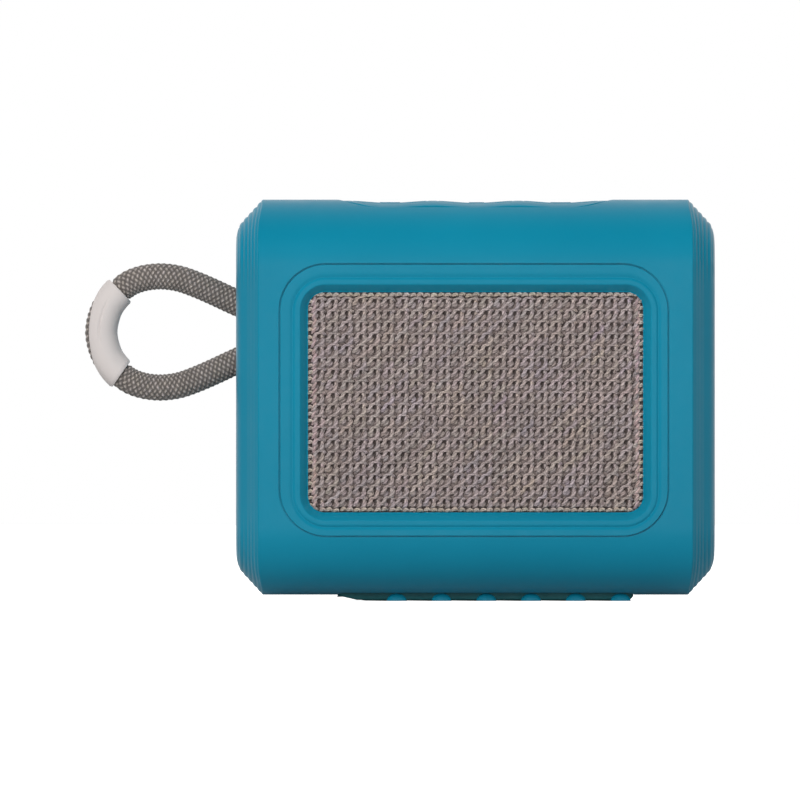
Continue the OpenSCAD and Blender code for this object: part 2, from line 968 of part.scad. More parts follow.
// Tube along the route from point first to point last, solid or with a bore
module tube(first, last, r, bore) {
    n = rope_sides;
    rings = last - first + 1;
    size = n * rings;
    outer = [for (i = [first:last]) each ring(i, r)];
    inner = [for (i = [first:last]) each ring(i, bore)];
    skin = [
        for (i = [0:rings - 2], k = [0:n - 1])
            let (q = (k + 1) % n)
                [i * n + k, (i + 1) * n + k, (i + 1) * n + q, i * n + q]
    ];
    lining = [for (f = skin) [f[3] + size, f[2] + size, f[1] + size, f[0] + size]];
    solid_ends = [[for (k = [0:n - 1]) k], [for (k = [n - 1:-1:0]) (rings - 1) * n + k]];
    open_ends = [
        for (k = [0:n - 1])
            let (q = (k + 1) % n, e = (rings - 1) * n)
                each [[k, q, q + size, k + size], [e + q, e + k, e + k + size, e + q + size]]
    ];
    if (bore == 0)
        polyhedron(outer, concat(skin, solid_ends));
    else
        polyhedron(concat(outer, inner), concat(skin, lining, open_ends));
}

module loop_rope() {
    color(cloth)
        tube(0, len(rope_route) - 1, rope_r, 0);
}

// The hidden turn of the cord round the back of its pin
module loop_rope_bight() {
    turn = 90 - rope_spread;
    color(cloth)
        translate([pin_x, 0, loop_z]) rotate([-90, 0, 0]) rotate([0, 0, -turn])
            rotate_extrude(angle = 2 * turn) translate([bight_r, 0]) circle(rope_r);
}

// Moulded sleeve, open along the middle of its outer side
module loop_sleeve() {
    color(pale)
        difference() {
            tube(sleeve_first, sleeve_last, sleeve_d / 2, rope_r + pin_play);
            box([-80, -1.6, loop_z - 6], [rope_tip[0], 1.6, loop_z + 6]);
        }
}

main_shell();
rear_cover();
shell_seal();
shell_screws();
grille_frame();
frame_gasket();
grille_fabric();
grille_mesh();
button_panel();
volume_down_button();
play_button();
volume_up_button();
volume_down_dome();
play_dome();
volume_up_dome();
key_board();
power_button();
pairing_button();
power_dome();
pairing_dome();
side_board();
status_light_pipe();
status_led();
microphone();
usb_port();
port_cover();
driver_basket();
driver_gasket();
driver_screws();
driver_top_plate();
driver_magnet();
driver_yoke();
voice_coil();
coil_former();
spider();
driver_cone();
dust_cap();
driver_surround();
driver_terminals();
speaker_wires();
radiator_frame();
radiator_gasket();
radiator_screws();
radiator_surround();
radiator_plate();
main_board();
radio_module();
board_components();
board_screws();
flex_cables();
battery_cell();
battery_pads();
battery_wires();
foot_pad();
loop_pin();
loop_rope();
loop_rope_bight();
loop_sleeve();
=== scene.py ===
import json
import math

import bmesh
import bpy
import numpy as np
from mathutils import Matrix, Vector


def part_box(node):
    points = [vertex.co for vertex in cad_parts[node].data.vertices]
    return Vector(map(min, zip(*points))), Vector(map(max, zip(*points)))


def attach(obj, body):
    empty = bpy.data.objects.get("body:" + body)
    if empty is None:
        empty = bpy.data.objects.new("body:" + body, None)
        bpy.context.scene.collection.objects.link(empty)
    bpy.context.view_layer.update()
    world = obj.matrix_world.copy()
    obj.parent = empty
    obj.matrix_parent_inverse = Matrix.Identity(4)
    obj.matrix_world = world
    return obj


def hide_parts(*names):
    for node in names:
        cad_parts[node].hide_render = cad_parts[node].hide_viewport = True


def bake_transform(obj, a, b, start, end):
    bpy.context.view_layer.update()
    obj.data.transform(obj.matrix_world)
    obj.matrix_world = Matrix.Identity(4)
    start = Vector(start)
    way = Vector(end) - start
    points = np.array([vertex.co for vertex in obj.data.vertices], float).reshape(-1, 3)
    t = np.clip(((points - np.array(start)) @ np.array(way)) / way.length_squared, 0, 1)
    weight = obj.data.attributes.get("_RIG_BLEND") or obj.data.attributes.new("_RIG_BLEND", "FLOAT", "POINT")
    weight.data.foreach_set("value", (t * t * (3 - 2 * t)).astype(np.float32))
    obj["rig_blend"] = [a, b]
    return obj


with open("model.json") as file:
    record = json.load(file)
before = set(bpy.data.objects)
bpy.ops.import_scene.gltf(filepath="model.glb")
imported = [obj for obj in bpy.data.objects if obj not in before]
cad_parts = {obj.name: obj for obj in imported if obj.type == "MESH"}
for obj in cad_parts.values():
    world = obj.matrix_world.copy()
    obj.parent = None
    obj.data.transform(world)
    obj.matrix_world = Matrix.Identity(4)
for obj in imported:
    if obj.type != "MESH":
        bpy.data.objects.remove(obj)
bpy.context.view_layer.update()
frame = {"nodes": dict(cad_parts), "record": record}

# The looks of the pocket speaker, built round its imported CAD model. Sizes here are millimetres, and
# become metres where a mesh is made. +X is the port end, -Y the grille, +Z up.
MM = 0.001


def span(node):
    """Lowest and highest corner of a CAD node, in millimetres."""
    low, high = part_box(node)
    return np.array(low) / MM, np.array(high) / MM


# Case
SHELL_LOW, SHELL_HIGH = span("main_shell")
COVER_LOW, COVER_HIGH = span("rear_cover")
HALF_W = SHELL_HIGH[0]
FRONT = SHELL_LOW[1]
BACK = COVER_HIGH[1]
CASE_TOP = SHELL_HIGH[2]
CASE_MID = (CASE_TOP + SHELL_LOW[2]) / 2
CASE_D = BACK - FRONT
CASE_H = CASE_TOP - SHELL_LOW[2]
EDGE_R = 13
WALL = 2.2
SPLIT = COVER_LOW[1]
SEAM = 0.07
SEAM_TIGHT = 0.01
SEAM_DEPTH = 0.5

# Bevels: (x, depth below the flat of the case), and the ribs across them
BEVEL = [
    (40.9, 0), (41.35, 0.04), (41.75, 0.5), (42.6, 1.45), (43.5, 2.42), (44.4, 3.4), (45.15, 4.22),
    (45.75, 5.05), (46.15, 5.95), (46.4, 7.1), (46.48, 8.2), (46.5, 9.2),
]
SCALLOPS = 5
SCALLOP_FIRST = 41.62
SCALLOP_LAST = 46.0
SCALLOP_DEPTH = 0.2
CREASE_SHIFT = 0.78

# Grille
FRAME_LOW, FRAME_HIGH = span("grille_frame")
FRAME_W = FRAME_HIGH[0] - FRAME_LOW[0]
FRAME_H = FRAME_HIGH[2] - FRAME_LOW[2]
FRAME_Z = (FRAME_HIGH[2] + FRAME_LOW[2]) / 2
FRAME_BACK = FRAME_HIGH[1]
FRAME_R = 8.9
FRAME_GAP = 0.03
FRAME_SHIFT = -0.3
GROOVE_W = 0.24
GROOVE_D = 0.38
VALLEY = (71, 48.5, 6.6)
CLOTH_LOW, CLOTH_HIGH = span("grille_fabric")
CLOTH_W = CLOTH_HIGH[0] - CLOTH_LOW[0]
CLOTH_H = CLOTH_HIGH[2] - CLOTH_LOW[2]
CLOTH_Z = (CLOTH_HIGH[2] + CLOTH_LOW[2]) / 2
CLOTH_FRONT = CLOTH_LOW[1]
WINDOW_W = 65
WINDOW_H = 42.7
WINDOW_R = 3.2

# Top panel
PANEL_LOW, PANEL_HIGH = span("button_panel")
PANEL_FLOOR = PANEL_LOW[2]
PANEL_DROP = 0.2
PANEL_GAP = 0.24
KEY_PITCH = 16.6
KEY_W = 14.7
KEY_D = 20.7
KEY_GAP = 0.25
DISH = 0.4

# Foot
FOOT_LOW, FOOT_HIGH = span("foot_pad")
RIB_COUNT = 6
RIB_PITCH = 8.7
RIB_FIRST = -15.3
RIB_W = 3.6
RIB_LEAN = 9.7

# Right end
SIDE_Y = 7
POWER_Z = 60
PAIRING_Z = 48.5
MIC_Z = 65.8
LIGHT_Z = 69
PORT_Z = 28
HINGE_X = 45.7
HINGE_Z = 19.3

# Back
RADIATOR_C = 11
RADIATOR_R = 15
SCREWS = [(x, z) for x in (-36.9, 36.9) for z in (20, 60)]

# Carry loop
PIN_X = -43.9
LOOP_Z = 52.3
ROPE_D = 5.2
CORD_STEP = 0.125
POCKET_W = 8
POCKET_H = 24.6
POCKET_X = -36.5
ROPE_UPPER = [
    (-42.2, 3.8), (-44.5, 4.8), (-48, 6.4), (-51, 7.8), (-54, 9.1), (-57, 10.2),
    (-59.5, 10.7), (-62, 10.8), (-64.8, 10.4), (-67.4, 9.4), (-69.6, 7.6), (-71.4, 5.3),
    (-72.4, 2.7),
]
ROPE_TIP = (-72.8, 0)
ROPE_ROUTE = ROPE_UPPER + [ROPE_TIP] + [(x, -z) for x, z in reversed(ROPE_UPPER)]
BRAID_SIDES = 156
BRAID_STRANDS = 10
BRAID_STEP = 0.97
BRAID_RELIEF = 0.2
SLEEVE_R = 3.15
SLEEVE_WALL = 0.55
SLEEVE_SIDES = 144
SLEEVE_SLANT = 1.0
SLOT_HALF_Z = 6.9
SLOT_ANGLE = math.radians(42)
TOWARDS_GRILLE = np.array([[0, -1, 0]])


# ---- Mesh helpers ----


def add_mesh(name, points, faces, sharp_angle=35):
    """A smooth-shaded object from points in millimetres, with edges sharper than sharp_angle kept."""
    mesh = bpy.data.meshes.new(name)
    mesh.from_pydata((np.asarray(points, float) * MM).tolist(), [], faces)
    mesh.update()
    obj = bpy.data.objects.new(name, mesh)
    bpy.context.scene.collection.objects.link(obj)
    work = bmesh.new()
    work.from_mesh(mesh)
    bmesh.ops.recalc_face_normals(work, faces=work.faces)
    work.to_mesh(mesh)
    work.free()
    smooth(obj, sharp_angle)
    return obj


def smooth(obj, sharp_angle):
    obj.data.shade_smooth()
    if sharp_angle < 180:
        obj.data.set_sharp_from_angle(angle=math.radians(sharp_angle))


def outline(w, h, r, arc=10, across=1, up=1):
    """Points and outward normals of a rounded rectangle, anticlockwise."""
    x, y = w / 2 - r, h / 2 - r
    corners = np.array([(x, y), (-x, y), (-x, -y), (x, -y)])
    points, normals = [], []
    for i in range(4):
        turns = math.pi / 2 * (i + np.arange(arc + 1) / arc)
        round_corner = np.stack([np.cos(turns), np.sin(turns)], 1)
        last = round_corner[-1:]
        start, end = corners[i] + r * last, corners[(i + 1) % 4] + r * last
        steps = up if i % 2 else across
        share = (np.arange(1, steps) / steps)[:, None]
        points += [corners[i] + r * round_corner, start + (end - start) * share]
        normals += [round_corner, np.repeat(last, steps - 1, 0)]
    return np.vstack(points), np.vstack(normals)


def circle(steps):
    return np.arange(steps) * 2 * math.pi / steps


def round_outline(r, steps=48):
    """Points and outward normals of a circle."""
    normals = np.stack([np.cos(circle(steps)), np.sin(circle(steps))], 1)
    return normals * r, normals


def racetrack(r):
    """Points and outward normals of a racetrack with ends of radius r, like the radiator's."""
    return outline(2 * (RADIATOR_C + r), 2 * r, r, arc=28, across=8)


PLANES = {"x": [1, 2, 0], "y": [0, 2, 1], "z": [0, 1, 2]}


def sweep(shape, axis, stations, centre=(0, 0)):
    """Rings of an outline along an axis, one for each (place, growth) station."""
    points, normals = shape
    rings = np.zeros((len(stations), len(points), 3))
    for ring, (place, growth) in zip(rings, stations):
        ring[:, PLANES[axis][:2]] = points + growth * normals + centre
        ring[:, PLANES[axis][2]] = place
    return rings


def loft(rings, loop=False):
    """Points and faces of a closed surface through rings of equally many points."""
    rings = np.asarray(rings, float)
    count, n = rings.shape[:2]
    k = np.arange(n)
    q = (k + 1) % n
    faces = []
    for i in range(count if loop else count - 1):
        a, b = i * n, (i + 1) % count * n
        faces += np.stack([a + k, a + q, b + q, b + k], 1).tolist()
    if not loop:
        faces += [k[::-1].tolist(), ((count - 1) * n + k).tolist()]
    return rings.reshape(-1, 3), faces


def merge(solids):
    """Points and faces of several solids as one."""
    all_points, all_faces, count = [], [], 0
    for points, faces in solids:
        all_points.append(points)
        all_faces += [[k + count for k in face] for face in faces]
        count += len(points)
    return np.vstack(all_points), all_faces


def rounded_end(end, into, radius, steps=5):
    """Stations of a solid whose edge is rounded at its end. into is +1 or -1, into the solid."""
    angles = [math.pi / 2 * k / steps for k in range(steps + 1)]
    return [
        (end + into * radius * (1 - math.cos(a)), -radius * (1 - math.sin(a))) for a in angles
    ]


def rounded_mouth(surface, into, radius, steps=4):
    """Stations of a cutter that rounds the edge of the hole it makes."""
    depths = [radius * k / steps for k in range(steps + 1)]
    return [(surface - into, radius)] + [
        (surface + into * t, radius - math.sqrt(radius ** 2 - (radius - t) ** 2)) for t in depths
    ]


def cutter(shape, axis, stations, centre=(0, 0)):
    return add_mesh("cutter", *loft(sweep(shape, axis, stations, centre)))


def box_cutter(low, high):
    centre = ((low[0] + high[0]) / 2, (low[1] + high[1]) / 2)
    shape = outline(high[0] - low[0], high[1] - low[1], 0.01, arc=1)
    return cutter(shape, "z", [(low[2], 0), (high[2], 0)], centre)


def slab_cutter(y0, y1):
    """Everything between two depths."""
    return box_cutter((-60, y0, -5), (60, y1, 90))


def ring_cutter(shape, inner, outer, y0, y1):
    """A flat ring round the case's middle, between two growths of an outline."""
    stations = [(y0, inner), (y0, outer), (y1, outer), (y1, inner)]
    return add_mesh("cutter", *loft(sweep(shape, "y", stations, (0, CASE_MID)), loop=True))


def combine(obj, tools, operation="DIFFERENCE"):
    """Cuts tools out of obj, or joins them to it, and removes them."""
    for tool in tools:
        step = obj.modifiers.new("combine", "BOOLEAN")
        step.solver = "MANIFOLD"
        step.operation = operation
        step.object = tool
    graph = bpy.context.evaluated_depsgraph_get()
    mesh = bpy.data.meshes.new_from_object(obj.evaluated_get(graph))
    obj.modifiers.clear()
    obj.data = mesh
    for tool in tools:
        bpy.data.objects.remove(tool)
    return obj


def weigh_normals(obj, sharp_angle):
    """Smooth shading led by the large faces, so that cut edges don't dent what is beside them."""
    smooth(obj, sharp_angle)
    step = obj.modifiers.new("normals", "WEIGHTED_NORMAL")
    step.keep_sharp = True
    step.weight = 60
    return obj


def finish_piece(obj, body, slot, *nodes, material=None):
    """Puts a piece on its body, gives it its finish, and hides the CAD nodes it stands for."""
    obj.data.materials.clear()
    obj.data.materials.append(material or FINISHES[slot])
    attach(obj, body)
    if nodes:
        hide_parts(*nodes)
    return obj


def paint(obj, colours, uv):
    """Gives each point of a yarn its colour, painted shade and painted highlights, and its place along and
    round the yarn.
    """
    colours = colours.reshape(-1, 3)
    colours = np.hstack([colours, np.ones((len(colours), 1))]).astype(np.float32)
    obj.data.attributes.new("tint", "FLOAT_COLOR", "POINT").data.foreach_set("color", colours.ravel())
    corners = np.zeros(len(obj.data.loops), np.int32)
    obj.data.loops.foreach_get("vertex_index", corners)
    uv = uv.reshape(-1, 2)[corners].astype(np.float32)
    obj.data.uv_layers.new(name="yarn").data.foreach_set("uv", uv.ravel())


def spline(points, per_span):
    """A smooth line through points (Catmull-Rom), with per_span steps between each two."""
    p = np.asarray(points, float)
    p = np.vstack([2 * p[0] - p[1], p, 2 * p[-1] - p[-2]])
    t = (np.arange(per_span) / per_span)[:, None]
    out = []
    for a, b, c, d in zip(p[:-3], p[1:-2], p[2:-1], p[3:]):
        out.append(
            0.5 * (2 * b + (c - a) * t + (2 * a - 5 * b + 4 * c - d) * t ** 2
                   + (3 * b - a - 3 * c + d) * t ** 3)
        )
    return np.vstack(out + [p[-2:-1]])


def unit(vectors):
    return vectors / np.linalg.norm(vectors, axis=1)[:, None]


def run_lengths(points):
    """How far along a line each of its points is."""
    return np.concatenate([[0], np.cumsum(np.linalg.norm(np.diff(points, axis=0), axis=1))])


def even_line(points, step):
    """The same line with its points the same distance apart."""
    lengths = run_lengths(points)
    count = max(2, round(lengths[-1] / step) + 1)
    at = np.linspace(0, lengths[-1], count)
    return np.stack([np.interp(at, lengths, points[:, i]) for i in range(3)], 1)


def tube(line, side, up, radius, angles):
    """Rings round a line, with a row of radius for each of its points."""
    across = (radius * np.cos(angles))[:, :, None]
    rise = (radius * np.sin(angles))[:, :, None]
    return line[:, None, :] + side[:, None, :] * across + up[:, None, :] * rise


def smoothstep(low, high, value):
    t = np.clip((value - low) / (high - low), 0, 1)
    return t * t * (3 - 2 * t)


# ---- Materials ----


class Nodes:
    """The nodes of a material or world, added and linked by short calls."""

    def __init__(self, name, library=bpy.data.materials, shader="Principled BSDF"):
        self.owner = library.new(name)
        self.owner.use_nodes = True
        self.tree = self.owner.node_tree
        self.shader = self.tree.nodes[shader]

    def put(self, socket, value):
        """Links a value to a socket, or sets it there."""
        if isinstance(value, bpy.types.NodeSocket):
            self.tree.links.new(value, socket)
        elif hasattr(value, "__len__") and len(value) < len(socket.default_value):
            socket.default_value = (*value, 1)
        else:
            socket.default_value = value

    def add(self, kind, inputs=(), **settings):
        node = self.tree.nodes.new("ShaderNode" + kind)
        for key, value in settings.items():
            setattr(node, key, value)
        for key, value in dict(inputs).items():
            self.put(node.inputs[key], value)
        return node

    def place(self):
        """Coordinates fixed to the piece, in metres."""
        return self.add("TexCoord").outputs["Object"]

    def noise(self, scale, detail=3.0, roughness=0.5, vector=None):
        inputs = {"Scale": scale, "Detail": detail, "Roughness": roughness}
        return self.add("TexNoise", {**inputs, "Vector": vector or self.place()}).outputs["Fac"]

    def ramp(self, value, *stops):
        """Greys along a value: the two stops are (place, grey)."""
        node = self.add("ValToRGB", {"Fac": value})
        for element, (place, grey) in zip(node.color_ramp.elements, stops):
            element.position = place
            element.color = (grey, grey, grey, 1)
        return node.outputs["Color"]

    def mix(self, factor, a, b, blend="MIX"):
        inputs = {0: factor, 6: a, 7: b}
        return self.add("Mix", inputs, data_type="RGBA", blend_type=blend).outputs[2]

    def math(self, operation, a, b):
        return self.add("Math", {0: a, 1: b}, operation=operation).outputs[0]

    def stretch(self, vector, scale):
        return self.add("Mapping", {"Vector": vector, "Scale": scale}).outputs["Vector"]

    def bump(self, height, distance):
        """Adds relief to the shader. distance is its height in metres."""
        node = self.add("Bump", {"Height": height, "Distance": distance, "Strength": 1.0})
        self.set(Normal=node.outputs["Normal"])

    def see_through_behind(self):
        """Makes the back of a face clear, so that the floor doesn't hide what stands on it."""
        back = self.add("NewGeometry").outputs["Backfacing"]
        clear = self.add("BsdfTransparent").outputs[0]
        mixed = self.add("MixShader", {0: back, 1: self.shader.outputs[0], 2: clear})
        self.put(self.tree.nodes["Material Output"].inputs["Surface"], mixed.outputs[0])

    def set(self, **values):
        """Sets or links the shader's own sockets."""
        for name, value in values.items():
            self.put(self.shader.inputs[name.replace("_", " ")], value)
        return self.owner


def moulded_plastic(name, colour, deep, roughness=(0.34, 0.42), grain=0.000006):
    """Satin moulded plastic: a fine spark grain, and slow drifts of colour and gloss."""
    n = Nodes(name)
    drift = n.ramp(n.noise(35, detail=4), (0.3, 0.0), (0.7, 1.0))
    gloss = n.ramp(n.noise(420, detail=5), (0.3, roughness[0]), (0.7, roughness[1]))
    n.bump(n.noise(5200, detail=2), grain)
    n.set(Base_Color=n.mix(drift, colour, deep), Roughness=gloss)
    return n.set(Specular_IOR_Level=0.2, Sheen_Weight=0.12, Sheen_Roughness=0.35)


def rubber(name, colour, roughness=0.7):
    """Matt rubber with a fine mould grain and faint handling marks."""
    n = Nodes(name)
    marks = n.ramp(n.noise(160, detail=6), (0.35, 0.0), (0.75, 1.0))
    gloss = n.ramp(n.noise(900), (0.3, roughness - 0.08), (0.7, roughness + 0.06))
    n.bump(n.noise(3800, detail=3), 0.000012)
    return n.set(Base_Color=n.mix(marks, colour, tuple(c * 1.25 for c in colour)), Roughness=gloss)


def metal(name, colour, roughness=0.32, brushed=(60, 60, 4000)):
    """Metal with fine machining lines and uneven gloss."""
    n = Nodes(name)
    lines = n.noise(1, detail=4, vector=n.stretch(n.place(), brushed))
    n.bump(lines, 0.000004)
    n.set(Base_Color=n.mix(lines, colour, tuple(c * 0.8 for c in colour)), Metallic=1.0)
    return n.set(Roughness=n.ramp(lines, (0.3, roughness), (0.7, roughness + 0.14)))


def speckled(name, colour, other, scale, roughness=0.6, relief=0.00001):
    """Any matt stuff with a small mottle: foam, paper, laminate, ferrite, resin."""
    n = Nodes(name)
    spots = n.noise(scale, detail=5)
    n.bump(spots, relief)
    n.set(Base_Color=n.mix(n.ramp(spots, (0.35, 0.0), (0.65, 1.0)), colour, other))
    return n.set(Roughness=n.ramp(spots, (0.3, roughness - 0.06), (0.7, roughness + 0.08)))


def yarn(name, light, dark):
    """Spun yarn: fibres along each strand, from its UVs, and a slow pink and straw mottle. Its colour is
    multiplied by each point's painted tone, which carries painted shade and painted highlights.
    """
    n = Nodes(name)
    along = n.add("UVMap", uv_map="yarn").outputs["UV"]
    fibre = n.noise(1, detail=4, roughness=0.65, vector=n.stretch(along, (1.6, 26, 1)))
    mottle = n.noise(1, detail=3, roughness=0.6, vector=n.stretch(along, (3.4, 5, 1)))
    fleck = n.math("ADD", n.math("MULTIPLY", fibre, 0.5), n.math("MULTIPLY", mottle, 0.5))
    body = n.mix(n.ramp(fleck, (0.38, 0.0), (0.62, 1.0)), dark, light)
    # Each point's own yarn tone together with painted shade and painted highlights
    tint = n.add("Attribute", attribute_name="tint").outputs["Color"]
    n.bump(fibre, 0.00005)
    n.set(Base_Color=n.mix(1.0, body, tint, "MULTIPLY"))
    n.set(Roughness=n.ramp(fibre, (0.3, 0.78), (0.7, 0.62)))
    return n.set(Sheen_Weight=0.25, Sheen_Roughness=0.45, Specular_IOR_Level=0.3)


TEAL = (0.003, 0.234, 0.360)
TEAL_DEEP = (0.002, 0.217, 0.338)
KNIT = yarn("knit", (0.66, 0.555, 0.535), (0.37, 0.30, 0.285))
CORD = yarn("cord", (0.58, 0.515, 0.49), (0.35, 0.31, 0.29))
BACKING = speckled("backing", (0.07, 0.053, 0.05), (0.11, 0.088, 0.083), 2600, 0.9, 0.00004)
FINISHES = {
    "case_plastic": moulded_plastic("case", TEAL, TEAL_DEEP),
    "frame_plastic": moulded_plastic("frame", TEAL, TEAL_DEEP),
    "button_rubber": moulded_plastic("buttons", TEAL, TEAL_DEEP, (0.38, 0.46), 0.00001),
    "foot_rubber": rubber("foot", (0.007, 0.095, 0.105)),
    "cover_rubber": rubber("cover", (0.008, 0.17, 0.24), 0.62),
    "sleeve_plastic": moulded_plastic("sleeve", (0.66, 0.61, 0.59), (0.62, 0.57, 0.555), (0.5, 0.6)),
    "grille_cloth": BACKING,
    "cord_cloth": BACKING,
}
# The other slots, in the record's colours: what makes each finish, and its values
RECORD_FINISHES = {
    "black_plastic": (moulded_plastic, (0.42, 0.52), 0.00001),
    "plate_plastic": (moulded_plastic, (0.38, 0.5), 0.00001),
    "light_plastic": (moulded_plastic, (0.25, 0.32)),
    "former_film": (moulded_plastic, (0.28, 0.36)),
    "flex_film": (moulded_plastic, (0.3, 0.4)),
    "wire_jacket": (moulded_plastic, (0.4, 0.5)),
    "black_rubber": (speckled, 1500, 0.58, 0.000012),
    "black_foam": (speckled, 2500, 0.92, 0.00008),
    "magnet_ferrite": (speckled, 900, 0.62, 0.00002),
    "spider_cloth": (speckled, 3000, 0.82, 0.00003),
    "cone_paper": (speckled, 1500, 0.75, 0.00004),
    "board_laminate": (speckled, 700, 0.38, 0.000008),
    "chip_resin": (speckled, 3000, 0.55, 0.000006),
    "terminal_board": (speckled, 800, 0.6, 0.00001),
    "screw_steel": (metal, 0.34, (900, 900, 900)),
    "pin_steel": (metal, 0.16, (60, 3000, 60)),
    "plate_steel": (metal, 0.42, (300, 60, 3000)),
    "dome_steel": (metal, 0.22, (2500, 60, 60)),
    "port_steel": (metal, 0.28, (3000, 200, 60)),
    "coil_copper": (metal, 0.3, (80, 9000, 80)),
    "module_can": (metal, 0.3, (60, 2600, 60)),
    "cell_pouch": (metal, 0.4, (300, 300, 300)),
}


def finish_cad_nodes():
    """Makes the rest of the finishes, and gives every CAD node the one of its material slot."""
    colours = {entry["slot"]: entry["base_color"][:3] for entry in frame["record"]["materials"]}
    for slot, (maker, *values) in RECORD_FINISHES.items():
        shades = [tuple(share * c for c in colours[slot]) for share in (1, 0.76)]
        FINISHES[slot] = maker(slot, *shades[:1 if maker is metal else 2], *values)
    for part in frame["record"]["subparts"]:
        for place in frame["nodes"][part["node"]].material_slots:
            place.material = FINISHES[part["material_slot"]]


# ---- Camera, light and floor ----

# Y of a direction where the studio starts and stops brightening, and its strength there
WORLD_FADE = (-0.4, 0.7, 0.12, 1.0)
KEY_POWER = 8.7
FILL_POWER = 2.2
FLOOR_GLOW = 0.9


def make_camera():
    """Level view of the grille from well back, a little to the left so that the loop is in view."""
    distance = 5000
    field = 155.2
    grille_plane = -18
    data = bpy.data.cameras.new("camera")
    data.sensor_width = 36
    data.lens = 36 * distance / field
    camera = bpy.data.objects.new("camera", data)
    camera.location = Vector((-14.65, grille_plane - distance, 39.05)) * MM
    camera.rotation_euler = (math.pi / 2, 0, 0)
    bpy.context.scene.collection.objects.link(camera)
    bpy.context.scene.camera = camera


def add_light(name, place, size, power, mirrored):
    """A softbox. One that isn't mirrored lights the speaker but makes no highlight on it."""
    data = bpy.data.lights.new(name, "AREA")
    data.shape = "RECTANGLE"
    data.size, data.size_y = size
    data.energy = power
    light = bpy.data.objects.new(name, data)
    light.location = place
    light.visible_glossy = mirrored
    heading = Vector((0, 0, 0.04)) - Vector(place)
    light.rotation_euler = heading.to_track_quat("-Z", "Y").to_euler()
    bpy.context.scene.collection.objects.link(light)


def make_light():
    """A white studio, bright behind the speaker and dim on the camera's side, and two softboxes."""
    n = Nodes("studio", bpy.data.worlds, "Background")
    direction = n.add("SeparateXYZ", {0: n.add("TexCoord").outputs["Generated"]})
    inputs = dict(enumerate((direction.outputs["Y"], *WORLD_FADE)))
    depth = n.add("MapRange", inputs, interpolation_type="SMOOTHSTEP").outputs[0]
    seen = n.add("LightPath").outputs["Is Camera Ray"]
    bpy.context.scene.world = n.set(Color=(1, 1, 1), Strength=n.math("MAXIMUM", depth, seen))
    bpy.context.scene.view_settings.view_transform = "Standard"
    add_light("key", (-0.32, -0.90, 0.60), (0.7, 0.5), KEY_POWER, False)
    add_light("fill", (0.10, -1.00, 0.08), (1.0, 0.3), FILL_POWER, True)


def make_floor():
    """A plain pale floor that runs into the white behind it."""
    half = 3000
    corners = [(-half, -half, 0), (half, -half, 0), (half, half, 0), (-half, half, 0)]
    floor = add_mesh("floor", corners, [(0, 1, 2, 3)])
    n = Nodes("floor")
    seen = n.add("LightPath").outputs["Is Camera Ray"]
    paper = n.ramp(n.noise(3), (0.0, 0.86), (1.0, 0.9))
    n.set(Base_Color=n.mix(seen, (0.6, 0.6, 0.6), paper), Roughness=0.9)
    n.set(Emission_Color=(1, 1, 1), Emission_Strength=n.math("MULTIPLY", seen, FLOOR_GLOW))
    n.see_through_behind()
    floor.data.materials.append(n.owner)


# ---- Carry loop ----


def rope_line():
    """The middle of the cord, from where it leaves the case to where it goes back in."""
    return even_line(spline([(x, 0, LOOP_Z + z) for x, z in ROPE_ROUTE], 24), CORD_STEP)


def bight_line():
    """The turn of the cord round the back of its pin, joined to both ends of the loop."""
    r = 4.15
    reach = math.pi / 2 - math.radians(24.6)
    angles = np.linspace(reach, -reach, 60)
    arc = np.stack([PIN_X + r * np.cos(angles), 0 * angles, LOOP_Z + r * np.sin(angles)], 1)
    return even_line(arc, CORD_STEP)


def line_frames(line):
    """Unit vectors of a line in the XZ plane: outwards from the loop, and along the line."""
    heading = unit(np.gradient(line, axis=0))
    return np.stack([heading[:, 2], 0 * heading[:, 0], -heading[:, 0]], 1), heading


def braided(name, line, radius, node):
    """A piece of the round braided cord along a line. radius is its outer radius. The cord's colour has a
    painted highlight along each strand's crest and painted shade where the strands dip.
    """
    along = run_lengths(line)[:, None] / BRAID_STEP
    turn = circle(BRAID_SIDES)[None, :] / (2 * math.pi) * BRAID_STRANDS
    a, b = turn + along, turn - along
    # Which way the upper strand runs at each place, and where the place is across and along it
    over = (np.floor(a) + np.floor(b)) % 2 == 0
    place_a, place_b = a - np.floor(a) - 0.5, b - np.floor(b) - 0.5
    across, down = np.where(over, place_a, place_b), np.where(over, place_b, place_a)
    height = np.sqrt(np.clip(1 - (2 * across) ** 2, 0, 1))
    height = height * np.clip(0.2 + 0.8 * np.cos(down * math.pi), 0, 1)
    radius = radius - BRAID_RELIEF * (1 - height)
    rings = tube(line, line_frames(line)[0], TOWARDS_GRILLE, radius, circle(BRAID_SIDES))
    cord = add_mesh(name, *loft(rings), sharp_angle=180)
    strand = np.where(over, np.floor(a), np.floor(b) + 977).astype(int)
    u = np.where(over, b, a) * 1.3 + strand * 0.37
    v = across * 0.5 + strand * 0.61
    shade = np.random.default_rng(11).uniform(0.0, 1.0, 4096)
    pick, warm = shade[(strand * 31) % 4096], shade[(strand * 17 + 5) % 4096]
    # Painted highlight along each strand's crest and painted shade where the strands dip; pick gives each
    # strand its own tone
    ridge_highlight = np.exp(-((across / 0.17) ** 2)) * np.cos(down * math.pi)
    level = (0.23 + 0.15 * height + 0.75 * ridge_highlight) * (0.86 + 0.28 * pick)
    tint = np.stack([level, level * 0.99, level * (0.93 + 0.06 * warm)], -1)
    paint(cord, tint, np.stack([u, v], -1))
    return finish_piece(cord, "loop", "cord_cloth", node, material=CORD)


def sleeve_ends(line):
    """Where the sleeve starts and stops along the cord's line."""
    upper_end = (-69.2, 0, LOOP_Z + 8.2)
    start = np.argmin(np.linalg.norm(line[: len(line) // 2] - upper_end, axis=1))
    return start, len(line) - 1 - start


